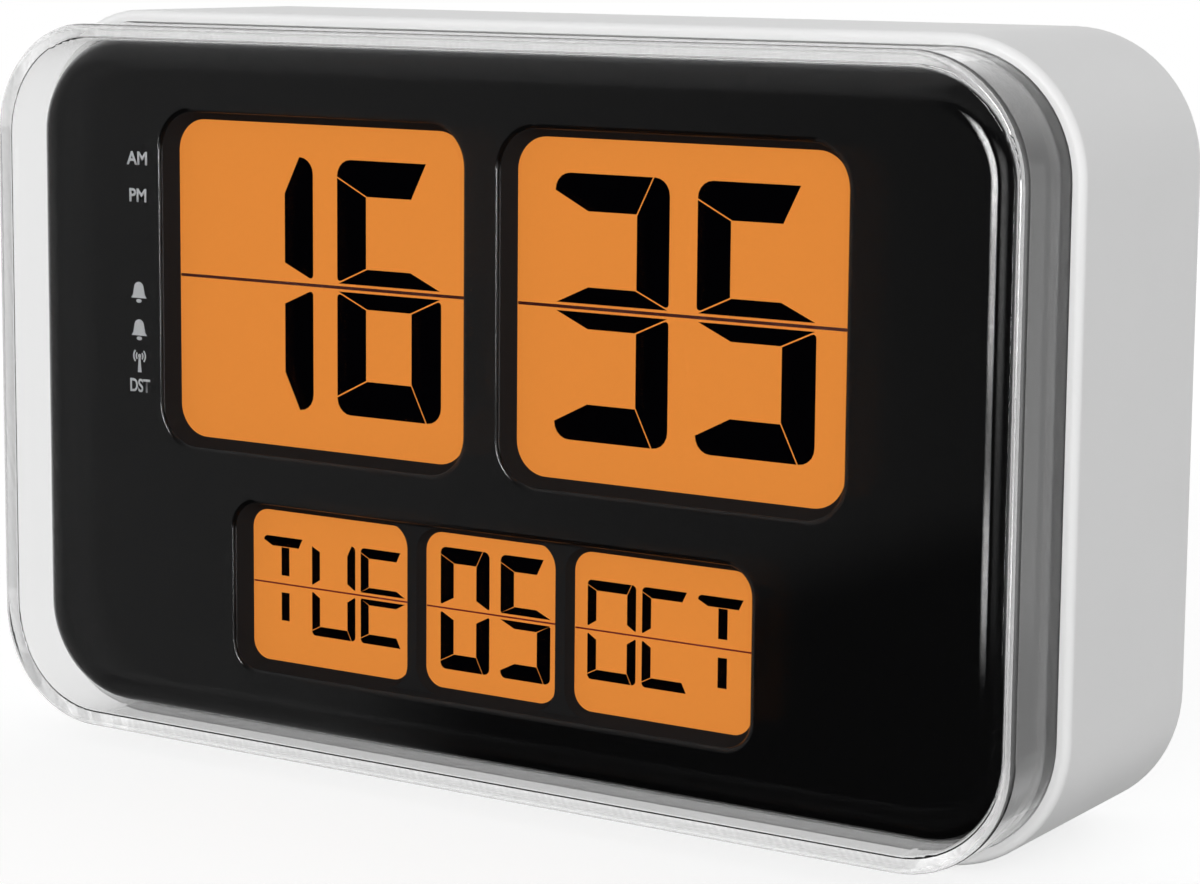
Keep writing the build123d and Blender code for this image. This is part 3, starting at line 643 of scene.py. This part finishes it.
def coil_winding(name):
    """Enamelled copper wire in close turns between two white cheeks, with painted shade in the grooves
    between the turns.
    """
    wire_pitch = 0.0005
    wire_depth = 0.0001
    cheek_from = 0.00125
    cheek_full = 0.00120
    coil_low, coil_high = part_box("aerial_coil")
    half = (coil_high.x - coil_low.x) / 2
    finish = new_finish(name)
    cheek = finish.ramp(finish.math("ABSOLUTE", finish.axis("X")), half - cheek_from, half - cheek_full)
    turns = finish.waves("X", wire_pitch)
    # Painted shade: the copper is darker in the grooves between turns and lighter on their crests,
    # following the relief.
    copper = finish.tint((0.25, 0.080, 0.030, 1.0), (0.55, 0.200, 0.085, 1.0), turns)
    return finish.surface({
        "Base Color": finish.tint(copper, (0.70, 0.68, 0.62, 1.0), cheek),
        "Metallic": 0.9 - 0.9 * cheek,
        "Roughness": 0.30 + 0.1 * cheek,
        "Normal": finish.relief(turns, strength=0.6, distance=wire_depth),
    })


def rubber(name, shade):
    """Matt rubber with a fine pitted skin."""
    pit_depth = 0.00005
    finish = new_finish(name)
    pits = finish.noise(size=0.0004, detail=4.0)
    cloud = finish.noise(size=0.006)
    return finish.surface({
        "Base Color": finish.mottle(shade, cloud, darker=0.8, lighter=1.25),
        "Roughness": 0.72 + 0.15 * pits,
        "Normal": finish.relief(pits, strength=0.5, distance=pit_depth),
    })


def translucent(name, shade, share):
    """Plastic that lets part of the light through."""
    finish = new_finish(name)
    cloud = finish.noise(size=0.008)
    return finish.surface({
        "Base Color": finish.mottle(shade, cloud, darker=0.95, lighter=1.05),
        "Roughness": 0.12 + 0.1 * cloud,
        "Transmission Weight": share,
    })


def dress(material, *nodes):
    """Give CAD nodes a finish."""
    for name in nodes:
        frame["nodes"][name].material_slots[0].material = material


def deselect_all():
    if bpy.context.mode != "OBJECT":
        bpy.ops.object.mode_set(mode="OBJECT")
    bpy.ops.object.select_all(action="DESELECT")


def facing_turn(back):
    return BACK_TURN if back else FRONT_TURN


def apply_place():
    bpy.ops.object.transform_apply(location=True, rotation=True, scale=True)


def add_panel(name, low, high, back=False):
    """A flat rectangle between two corners that faces the front or the back, opened in edit mode."""
    deselect_all()
    bpy.ops.mesh.primitive_plane_add(size=1, location=(low + high) / 2, rotation=facing_turn(back))
    panel = bpy.context.object
    panel.name = name
    panel.scale = (abs(high.x - low.x), abs(high.z - low.z), 1)
    apply_place()
    bpy.ops.object.mode_set(mode="EDIT")
    return panel


def add_disc(name, centre, radius, back=False, points=32):
    """A flat disc that faces the front or the back, opened in edit mode."""
    deselect_all()
    bpy.ops.mesh.primitive_circle_add(vertices=points, radius=radius, fill_type="NGON", location=centre,
                                      rotation=facing_turn(back))
    disc = bpy.context.object
    disc.name = name
    apply_place()
    bpy.ops.object.mode_set(mode="EDIT")
    return disc


def select_points(piece, wanted):
    """In edit mode, select the points of a piece whose place passes a test."""
    bpy.ops.mesh.select_mode(type="VERT")
    shape = bmesh.from_edit_mesh(piece.data)
    for point in shape.verts:
        point.select = wanted(point.co)
    shape.select_flush(True)
    bmesh.update_edit_mesh(piece.data)


def cut_along(first, second, kept, gap=0.0):
    """Cut the flat piece in edit mode along a line, and keep the side on which a point lies."""
    along = second - first
    outward = Vector((along.z, 0, -along.x)).normalized()
    if outward.dot(kept - first) > 0:
        outward = -outward
    bpy.ops.mesh.select_all(action="SELECT")
    bpy.ops.mesh.bisect(plane_co=first - outward * gap / 2, plane_no=outward, clear_outer=True)


def round_point(piece, corner, radius, reach=0.00002):
    """Round the corner of the flat piece in edit mode that lies within reach of a place."""
    select_points(piece, lambda place: (place - corner).length < reach)
    bpy.ops.mesh.bevel(affect="VERTICES", offset=radius, segments=5, profile=0.5)


def join_pieces(pieces, name):
    """Join flat pieces to one and name it."""
    deselect_all()
    for piece in pieces:
        piece.select_set(True)
    bpy.context.view_layer.objects.active = pieces[0]
    if len(pieces) > 1:
        bpy.ops.object.join()
    joined = bpy.context.object
    joined.name = name
    joined.data.name = name
    return joined


def set_film(piece, material, body=CASE):
    """Give a flat piece its thickness and finish, and let it ride on a body."""
    deselect_all()
    piece.select_set(True)
    bpy.context.view_layer.objects.active = piece
    film = piece.modifiers.new("film", "SOLIDIFY")
    film.thickness = bpy.context.scene.clock_marks.film
    film.offset = 1.0
    bpy.ops.object.modifier_apply(modifier=film.name)
    piece.data.materials.clear()
    piece.data.materials.append(material)
    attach(piece, body)


# Each segment's half of the character, and its kind.
SEGMENTS = {
    "top": ("upper", "outer"),
    "upper_left": ("upper", "left"),
    "upper_right": ("upper", "right"),
    "upper_middle": ("upper", "inner"),
    "upper_stem": ("upper", "stem"),
    "bottom": ("lower", "outer"),
    "lower_left": ("lower", "left"),
    "lower_right": ("lower", "right"),
    "lower_middle": ("lower", "inner"),
    "lower_stem": ("lower", "stem"),
}
MIDDLE = ("upper_middle", "lower_middle")
LEFT = ("upper_left", "lower_left")
RIGHT = ("upper_right", "lower_right")
STEM = ("upper_stem", "lower_stem")
CHARACTERS = {
    "0": ("top", "bottom", *LEFT, *RIGHT),
    "1": RIGHT,
    "3": ("top", "bottom", *RIGHT, *MIDDLE),
    "5": ("top", "bottom", "upper_left", "lower_right", *MIDDLE),
    "6": ("top", "bottom", *LEFT, "lower_right", *MIDDLE),
    "C": ("top", "bottom", *LEFT),
    "E": ("top", "bottom", *LEFT, *MIDDLE),
    "O": ("top", "bottom", *LEFT, *RIGHT),
    "T": ("top", *STEM),
    "U": ("bottom", *LEFT, *RIGHT),
}


def add_segment(segment, style, x, split_z):
    """One segment of a character: a rectangle, cut along the joints that it shares with its neighbours."""
    half, kind = SEGMENTS[segment]
    sign = 1 if half == "upper" else -1
    half_width = style.width / 2
    half_height = style.height / 2
    half_stroke = style.stroke / 2
    inner_x = half_width - style.stroke
    outer_z = half_height - style.stroke
    inner_z = style.split_gap + style.middle

    def at(px, pz):
        return Vector((x + px, glass_low.y, split_z + sign * pz))

    outer_left = (at(-half_width, half_height - half_stroke), at(-inner_x, outer_z))
    outer_right = (at(half_width - half_stroke, half_height), at(inner_x, outer_z))
    inner_left = (at(-half_width, style.split_gap), at(-inner_x, inner_z))
    inner_right = (at(half_width, style.split_gap), at(inner_x, inner_z))
    joints = ()
    corner = None
    tip = None
    if kind == "outer":
        low, high = at(-half_width, outer_z), at(half_width, half_height)
        joints = (outer_left, outer_right)
        corner = at(-half_width, half_height)
    elif kind == "inner":
        low, high = at(-half_width, style.split_gap), at(half_width, inner_z)
        joints = (inner_left, inner_right)
    elif kind == "stem":
        low, high = at(-half_stroke, inner_z), at(half_stroke, outer_z - style.joint_gap)
    elif kind == "left":
        low, high = at(-half_width, style.split_gap), at(-inner_x, half_height)
        joints = (outer_left, inner_left)
        tip = at(-half_width, style.split_gap)
    else:
        low, high = at(inner_x, style.split_gap), at(half_width, half_height)
        joints = (outer_right, inner_right)
        corner = at(half_width, half_height)
        tip = at(half_width, style.split_gap)
    panel = add_panel(segment, low, high)
    middle = (low + high) / 2
    for first, second in joints:
        cut_along(first, second, middle, style.joint_gap)
    if corner:
        round_point(panel, corner, style.corner)
    if tip:
        round_point(panel, tip, style.tip, style.joint_gap)
    bpy.ops.object.mode_set(mode="OBJECT")
    return panel


def add_characters(name, words, style, x, split_z, material):
    """A row of characters about an x, each made of its lit segments."""
    pieces = []
    for index, character in enumerate(words):
        place = x + (index - (len(words) - 1) / 2) * style.pitch
        pieces += [add_segment(segment, style, place, split_z) for segment in CHARACTERS[character]]
    set_film(join_pieces(pieces, name), material)


def add_lettering(name, words, size, centre, back=False, narrow=1.0):
    """Printed words as a flat mesh, their width made narrower by a share."""
    boldness = 0.022
    deselect_all()
    bpy.ops.object.text_add(location=centre, rotation=facing_turn(back))
    lettering = bpy.context.object
    lettering.name = name
    lettering.data.body = words
    lettering.data.size = size
    lettering.data.align_x = "CENTER"
    lettering.data.align_y = "CENTER"
    lettering.data.offset = size * boldness
    lettering.scale.x = narrow
    bpy.ops.object.convert(target="MESH")
    apply_place()
    return bpy.context.object


def draw_down(drop, level, flare):
    """Extrude the selected edge of the flat piece in edit mode downwards, and make it wider."""
    bpy.ops.mesh.extrude_region_move(TRANSFORM_OT_translate={"value": (0, 0, -drop)})
    bpy.ops.transform.resize(value=(flare, 1, 1), center_override=level)


def add_bell(name, centre, height, back=False):
    """A bell sign: a dome, a skirt that flares and a clapper below."""
    radius = height * 0.28
    level = centre + Vector((0, 0, height * 0.18))
    bell = add_disc(name, level, radius, back)
    cut_along(level, level + Vector((1, 0, 0)), level + Vector((0, 0, 1)))
    select_points(bell, lambda place: place.z < level.z + radius * 0.02)
    draw_down(height * 0.32, level, flare=1.25)
    draw_down(height * 0.13, level, flare=1.30)
    clapper_place = centre - Vector((0, 0, height * 0.40))
    clapper = add_disc(name + "_clapper", clapper_place, height * 0.11, back, points=16)
    bpy.ops.mesh.select_all(action="SELECT")
    bpy.ops.transform.resize(value=(1.4, 1, 0.8), center_override=clapper_place)
    return join_pieces([bell, clapper], name)


def add_arc(name, centre, radius, width, side, back):
    """A quarter of a flat ring, on one side of its centre."""
    arc = add_disc(name, centre, radius, back, points=48)
    bpy.ops.mesh.select_all(action="SELECT")
    bpy.ops.mesh.inset(thickness=width)
    bpy.ops.mesh.delete(type="FACE")
    kept = centre + Vector((side, 0, 0))
    for slope in (-1, 1):
        cut_along(centre, centre + Vector((1, 0, slope)), kept)
    bpy.ops.object.mode_set(mode="OBJECT")
    return arc


def add_mast(name, centre, height, back=False):
    """A radio mast sign: a tapered mast with a ball, and two waves on each side."""
    half_width = height * 0.10
    taper = 0.45
    ball_radius = height * 0.09
    wave_radii = (height * 0.22, height * 0.36)
    wave_width = height * 0.07
    top = centre + Vector((0, 0, height * 0.20))
    low = centre - Vector((half_width, 0, height / 2))
    mast = add_panel(name, low, top + Vector((half_width, 0, 0)), back)
    select_points(mast, lambda place: place.z > centre.z)
    bpy.ops.transform.resize(value=(taper, 1, 1), center_override=top)
    pieces = [mast, add_disc(name + "_ball", top, ball_radius, back, points=16)]
    for side in (-1, 1):
        for radius in wave_radii:
            pieces.append(add_arc(name + "_wave", top, radius, wave_width, side, back))
    return join_pieces(pieces, name)


def softbox(name, place, target, size, power):
    """A square area light that points at a target and doesn't show in gloss."""
    data = bpy.data.lights.new(name, "AREA")
    data.shape = "SQUARE"
    data.size = size
    data.energy = power
    lamp = bpy.data.objects.new(name, data)
    bpy.context.scene.collection.objects.link(lamp)
    lamp.location = place
    lamp.rotation_euler = (target - place).to_track_quat("-Z", "Y").to_euler()
    lamp.visible_glossy = False
    lamp.visible_transmission = False


def left_glow(finish, right, up, bearing):
    """A sheet of soft light at the left, with a slanting foot that reaches lower at the far left."""
    slant = up - GLOW_SLOPE * (bearing + GLOW_PIVOT)
    far_left = 1 - finish.ramp(right, *GLOW_FAR_LEFT)
    foot = finish.math("MAXIMUM", finish.ramp(slant, *GLOW_FOOT), far_left)
    fading = GLOW_LEAST + (1 - GLOW_LEAST) * finish.ramp(up, *GLOW_FADING)
    return GLOW_LEVEL * (1 - finish.ramp(bearing, *GLOW_BEARINGS)) * foot * fading


def strip_lights(finish, up, bearing, level):
    """Two upright strips of light, brightest at the top, and a broad one at the right."""
    upper = STRIP_UPPER_GAIN * finish.ramp(up, *STRIP_UPPER) + STRIP_TOP_GAIN * finish.ramp(up, *STRIP_TOP)
    lower = STRIP_LOWER_GAIN * (1 - finish.ramp(up, *STRIP_LOWER))
    strip = finish.band(bearing, *STRIP_BEARINGS) * (STRIP_BASE + upper + lower)
    second_level = SECOND_BASE + SECOND_UP_GAIN * finish.ramp(up, *SECOND_UP)
    second = finish.band(bearing, *SECOND_BEARINGS) * second_level
    broad = finish.band(bearing, *BROAD_BEARINGS)
    return finish.band(up, *LIGHTS_UP) * (level * strip + SECOND_LEVEL * second + BROAD_LEVEL * broad)


def light_world(studio):
    """White behind the clock, plain light on matt surfaces, and a studio, dark in front, for gloss."""
    world = bpy.data.worlds.new("studio")
    bpy.context.scene.world = world
    finish = Finish(world)
    direction = finish.node("ShaderNodeTexCoord", output="Generated")
    right, away, up = [finish.node("ShaderNodeSeparateXYZ", {"Vector": direction}, output=name)
                       for name in "XYZ"]
    bearing = finish.math("ARCTAN2", right, 0.0 - away) * (180 / math.pi)

    def ray(name):
        return finish.node("ShaderNodeLightPath", output=name)

    wall = finish.ramp(away, *WALL_AWAY) * finish.ramp(up, *WALL_FOOT)
    wall = wall * (1 - WALL_DIMMING * finish.ramp(right, *WALL_RIGHT))
    # The glow is kept for what the bezel mirrors: such a ray has gone through the cover and into it again.
    under_cover = finish.ramp(ray("Transmission Depth"), *COVER_CROSSINGS)
    ceiling = CEILING_LEVEL * finish.ramp(up, *CEILING_UP)
    lights = strip_lights(finish, up, bearing, studio.strip_level)
    front = DARK_LEVEL + under_cover * left_glow(finish, right, up, bearing) + ceiling + lights
    studio_view = wall + (1 - wall) * front

    # A ray that was never mirrored has gone straight through the cover, and sees white.
    from_matt = finish.math("MINIMUM", ray("Diffuse Depth"), 1.0)
    mirrored = finish.math("MINIMUM", ray("Glossy Depth"), 1.0)
    gloss = finish.math("MAXIMUM", ray("Is Glossy Ray"), ray("Is Transmission Ray")) * (1 - from_matt)
    matt_or_gloss = studio.ambient * (1 - gloss) + gloss * (1 - mirrored + mirrored * studio_view)
    seen = ray("Is Camera Ray")
    strength = seen + (1 - seen) * matt_or_gloss
    sky = finish.node("ShaderNodeBackground", {"Color": WHITE, "Strength": strength})
    finish.node("ShaderNodeOutputWorld", {"Surface": sky})


def floor_white(name, reach):
    """A pale floor with the clock's shadow on it, that fades into the white round it."""
    floor_glow = 0.77
    lit_grey = (0.62, 0.62, 0.62, 1.0)
    seen_grey = (0.30, 0.30, 0.30, 1.0)
    finish = new_finish(name)
    seen = finish.node("ShaderNodeLightPath", output="Is Camera Ray")
    grain = finish.noise(size=0.05)
    pale = finish.node("ShaderNodeBsdfPrincipled", {
        "Base Color": finish.tint(lit_grey, seen_grey, 0.98 * seen + 0.02 * grain),
        "Roughness": 0.9,
        "Emission Color": finish.tint(BLACK, WHITE, seen),
        "Emission Strength": floor_glow,
    })
    distance = finish.node("ShaderNodeVectorMath", {0: finish.place()}, output="Value", operation="LENGTH")
    fade = finish.node("ShaderNodeMixShader", {
        0: finish.ramp(distance, reach * 0.35, reach * 0.95),
        1: pale,
        2: finish.node("ShaderNodeBsdfTransparent"),
    })
    return finish.show(fade)


class CLOCK_OT_case(bpy.types.Operator):
    """Finish the housing, the back panel with its door, the screws and the feet"""
    bl_idname = "clock.case"
    bl_label = "Case"

    def execute(self, context):
        shade = context.scene.clock_colours.case_white
        dress(moulded("housing_white", shade, roughness=0.36), "housing")
        panel_shade = [part * 0.97 for part in shade]
        panel = moulded("panel_white", panel_shade, roughness=0.52, grain=0.0007, depth=0.00006)
        dress(panel, "back_panel", "battery_door")
        dress(metal("screw_steel", (0.50, 0.50, 0.51)), "case_screws", "bezel_screws", "frame_screws",
              "main_board_screws", "button_board_screws")
        dress(rubber("foot_rubber", (0.035, 0.035, 0.036)), "rubber_feet")
        return {"FINISHED"}


class CLOCK_OT_front(bpy.types.Operator):
    """Finish the clear cover, the black bezel and the lit display"""
    bl_idname = "clock.front"
    bl_label = "Front"

    def execute(self, context):
        colours = context.scene.clock_colours
        dress(clear_plastic("clear_acrylic"), "clear_cover")
        frame["nodes"]["clear_cover"].visible_shadow = False
        dress(gloss_black("bezel_gloss", colours.bezel_black, colours.reveal_black_with_painted_sheen), "dial_bezel")
        dress(lit_display("display_lit", colours.display_lit), "lcd_glass")
        return {"FINISHED"}


class CLOCK_OT_inside(bpy.types.Operator):
    """Finish the boards, the receiver, the display's light and the cells with their contacts"""
    bl_idname = "clock.inside"
    bl_label = "Inside"

    def execute(self, context):
        plastics = (
            ("chip_epoxy", (0.012, 0.012, 0.013), 0.55, ("controller_chip", "receiver_chip", "buzzer")),
            ("socket_nylon", (0.66, 0.60, 0.46), 0.45, ("ribbon_sockets",)),
            ("frame_plastic", (0.72, 0.72, 0.70), 0.5, ("display_frame", "rod_holders")),
            ("film_white", (0.86, 0.86, 0.85), 0.6, ("diffuser_sheet", "reflector_sheet")),
        )
        for name, shade, roughness, nodes in plastics:
            dress(moulded(name, shade, roughness), *nodes)
        ferrite = moulded("ferrite", (0.035, 0.034, 0.033), roughness=0.6, grain=0.0004, depth=0.00008)
        dress(ferrite, "ferrite_rod")
        # The ribbon's darker bands are painted shade in the grooves between its strands.
        strands = banded("ribbon_strands", (0.22, 0.22, 0.23), (0.40, 0.40, 0.41), pitch=0.00127)
        dress(strands, "ribbon_cable")
        layers = banded("contact_layers", (0.02, 0.02, 0.02), (0.35, 0.20, 0.18), pitch=0.0004,
                        roughness=0.6)
        dress(layers, "contact_strip")
        dress(circuit_board("board_green"), "main_board", "receiver_board", "button_board", "lamp_board")
        dress(metal("crystal_can", (0.62, 0.62, 0.60)), "clock_crystal")
        dress(capacitor_can("capacitor_can"), "capacitors")
        dress(coil_winding("coil_winding"), "aerial_coil")
        dress(translucent("guide_clear", (0.92, 0.93, 0.93), share=0.9), "light_guide")
        dress(translucent("lamp_amber", (0.90, 0.36, 0.05), share=0.5), "backlight_lamps")
        dress(cell_sleeve("cell_sleeve"), "battery_cells")
        dress(metal("contact_nickel", (0.62, 0.59, 0.54)), "plus_contacts", "minus_contacts")
        return {"FINISHED"}


class CLOCK_OT_buttons(bpy.types.Operator):
    """Finish the push buttons, their plungers and switches"""
    bl_idname = "clock.buttons"
    bl_label = "Buttons"

    def execute(self, context):
        shade = context.scene.clock_colours.button_grey
        cap = moulded("button_grey", shade, roughness=0.5, grain=0.0006, depth=0.00005)
        plunger = moulded("plunger_white", (0.74, 0.74, 0.72), roughness=0.4)
        for name in BUTTONS:
            dress(cap, name + "_button")
            dress(plunger, name + "_plunger")
        dress(moulded("switch_black", (0.02, 0.02, 0.021), roughness=0.5), "button_switches")
        return {"FINISHED"}


class CLOCK_OT_time(bpy.types.Operator):
    """Model the hour's and the minute's digits"""
    bl_idname = "clock.time"
    bl_label = "Time digits"

    def execute(self, context):
        scene = context.scene
        style, words = scene.clock_time, scene.clock_words
        segment_ink = ink("time_segments", scene.clock_colours.segment_ink, roughness=0.6, shine=0.0)
        split_z = middle_z + style.split_rise
        add_characters("hour_digits", words.hour, style, style.hour_x, split_z, segment_ink)
        add_characters("minute_digits", words.minute, style, style.minute_x, split_z, segment_ink)
        return {"FINISHED"}


class CLOCK_OT_calendar(bpy.types.Operator):
    """Model the weekday, the date and the month"""
    bl_idname = "clock.calendar"
    bl_label = "Calendar"

    def execute(self, context):
        scene = context.scene
        digits, letters, words = scene.clock_date, scene.clock_days, scene.clock_words
        segment_ink = ink("calendar_segments", scene.clock_colours.segment_ink, roughness=0.6, shine=0.0)
        split_z = middle_z + digits.split_rise
        add_characters("date_digits", words.date, digits, digits.x, split_z, segment_ink)
        add_characters("weekday_letters", words.weekday, letters, letters.weekday_x, split_z, segment_ink)
        add_characters("month_letters", words.month, letters, letters.month_x, split_z, segment_ink)
        return {"FINISHED"}


class CLOCK_OT_split_lines(bpy.types.Operator):
    """Model the thin line across the middle of each window"""
    bl_idname = "clock.split_lines"
    bl_label = "Split lines"

    def execute(self, context):
        scene = context.scene
        colours = scene.clock_colours
        rows = (
            ("time_split_lines", scene.clock_time, TIME_LINES, colours.time_line),
            ("date_split_lines", scene.clock_date, DATE_LINES, colours.date_line),
        )
        for name, style, ends, shade in rows:
            split_z = middle_z + style.split_rise
            half = style.line_width / 2
            lines = []
            for left, right in ends:
                low = Vector((left, glass_low.y, split_z - half))
                high = Vector((right, glass_low.y, split_z + half))
                lines.append(add_panel(name, low, high))
                bpy.ops.mesh.bevel(affect="VERTICES", offset=half * 0.9, segments=3)
                bpy.ops.object.mode_set(mode="OBJECT")
            set_film(join_pieces(lines, name), ink(name, shade))
        return {"FINISHED"}


class CLOCK_OT_signs(bpy.types.Operator):
    """Model the signs printed on the bezel"""
    bl_idname = "clock.signs"
    bl_label = "Bezel signs"

    def execute(self, context):
        marks = context.scene.clock_marks

        def at(sign):
            return Vector((marks.sign_x, bezel_front, middle_z + SIGN_RISE[sign]))

        size = marks.sign_size
        signs = [
            add_lettering("sign_morning", "AM", size, at("morning")),
            add_lettering("sign_afternoon", "PM", size, at("afternoon")),
            add_bell("sign_bell_one", at("bell_one"), marks.bell_height),
            add_bell("sign_bell_two", at("bell_two"), marks.bell_height),
            add_mast("sign_mast", at("mast"), marks.mast_height),
            add_lettering("sign_summer", "DST", size, at("summer"), narrow=SUMMER_NARROW),
        ]
        silver = ink("sign_silver", context.scene.clock_colours.sign_silver, roughness=0.35)
        set_film(join_pieces(signs, "bezel_signs"), silver)
        return {"FINISHED"}


class CLOCK_OT_back_marks(bpy.types.Operator):
    """Model the marks printed on the back panel and the arrow on the battery door"""
    bl_idname = "clock.back_marks"
    bl_label = "Back marks"

    def execute(self, context):
        marks = context.scene.clock_marks
        grey = ink("mark_grey", context.scene.clock_colours.mark_grey)
        size = marks.back_size
        word_size = size * 0.8
        sign_size = size * 1.3
        snooze_size = size * 0.7
        apart = size * 0.35

        def below(button, x_shift=0.0):
            low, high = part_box(button + "_button")
            middle = (low + high) / 2
            return Vector((middle.x + x_shift, panel_back, middle.z - marks.back_drop))

        pieces = [
            add_lettering("mark_plus", "+", sign_size, below("plus"), True),
            add_lettering("mark_minus", "−", sign_size, below("minus"), True),
            add_lettering("mark_set", "SET", word_size, below("set"), True),
            add_mast("mark_search", below("search"), size, True),
        ]
        for name, number in (("alarm_one", "1"), ("alarm_two", "2")):
            pieces.append(add_bell("mark_" + name, below(name, apart), size, True))
            pieces.append(add_lettering("mark_number", number, word_size, below(name, -apart), True))
        snooze_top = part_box("snooze_button")[1].z
        above = Vector((0, panel_back, snooze_top + snooze_size))
        pieces.append(add_lettering("mark_snooze", "SNOOZE / LIGHT", snooze_size, above, True))
        set_film(join_pieces(pieces, "back_marks"), grey)

        tip = Vector(((door_low.x + door_high.x) / 2, panel_back, door_high.z - ARROW_DROP))
        left = tip - Vector((ARROW_HALF, 0, 0))
        right = tip + Vector((ARROW_HALF, 0, ARROW_HEIGHT))
        arrow = add_panel("door_arrow", left, right, True)
        select_points(arrow, lambda place: place.z < tip.z + ARROW_HEIGHT / 2)
        bpy.ops.mesh.merge(type="CENTER")
        bpy.ops.object.mode_set(mode="OBJECT")
        set_film(join_pieces([arrow], "door_arrow"), grey, "battery_door")
        return {"FINISHED"}


class CLOCK_OT_stage(bpy.types.Operator):
    """Set the floor, the light and the camera"""
    bl_idname = "clock.stage"
    bl_label = "Stage"

    def execute(self, context):
        scene = context.scene
        studio = scene.clock_studio
        scene.view_settings.view_transform = "Standard"

        deselect_all()
        bpy.ops.mesh.primitive_plane_add(size=studio.floor_size, location=(0, 0, 0))
        floor = context.object
        floor.name = "floor"
        floor.data.materials.append(floor_white("floor_white", studio.floor_size / 2))
        floor.visible_glossy = False
        floor.visible_transmission = False

        light_world(studio)
        target = Vector((0, 0, middle_z))
        for name, (place, size) in SOFTBOXES.items():
            softbox(name + "_softbox", Vector(place), target, size, getattr(studio, name + "_power"))

        data = bpy.data.cameras.new("camera")
        data.sensor_fit = "HORIZONTAL"
        data.sensor_width = 36.0
        data.lens = studio.lens
        data.shift_y = -studio.lens_drop
        data.clip_start = 0.01
        camera = bpy.data.objects.new("camera", data)
        scene.collection.objects.link(camera)
        aim = Euler((math.pi / 2 - studio.dip, 0, studio.turn)).to_matrix()
        aim = aim @ Matrix.Rotation(studio.lean, 3, "Z")
        camera.location = studio.camera_place
        camera.rotation_euler = aim.to_euler()
        scene.camera = camera
        return {"FINISHED"}


OPERATORS = (
    CLOCK_OT_case,
    CLOCK_OT_front,
    CLOCK_OT_inside,
    CLOCK_OT_buttons,
    CLOCK_OT_time,
    CLOCK_OT_calendar,
    CLOCK_OT_split_lines,
    CLOCK_OT_signs,
    CLOCK_OT_back_marks,
    CLOCK_OT_stage,
)


class CLOCK_PT_panel(bpy.types.Panel):
    """The steps that finish the clock"""
    bl_idname = "CLOCK_PT_panel"
    bl_label = "Clock"
    bl_space_type = "VIEW_3D"
    bl_region_type = "UI"
    bl_category = "Clock"

    def draw(self, context):
        for operator in OPERATORS:
            self.layout.operator(operator.bl_idname)
        for group in PROPERTY_GROUPS:
            box = self.layout.box()
            settings = getattr(context.scene, group)
            for name in settings.__annotations__:
                box.prop(settings, name)


CLASSES = (*PROPERTY_GROUPS.values(), *OPERATORS, CLOCK_PT_panel)


def register():
    for item in CLASSES:
        bpy.utils.register_class(item)
    for name, group in PROPERTY_GROUPS.items():
        setattr(bpy.types.Scene, name, PointerProperty(type=group))


def unregister():
    for name in PROPERTY_GROUPS:
        delattr(bpy.types.Scene, name)
    for item in reversed(CLASSES):
        bpy.utils.unregister_class(item)


def main():
    register()
    for operator in OPERATORS:
        family, name = operator.bl_idname.split(".")
        getattr(getattr(bpy.ops, family), name)()


if __name__ == "__main__":
    main()
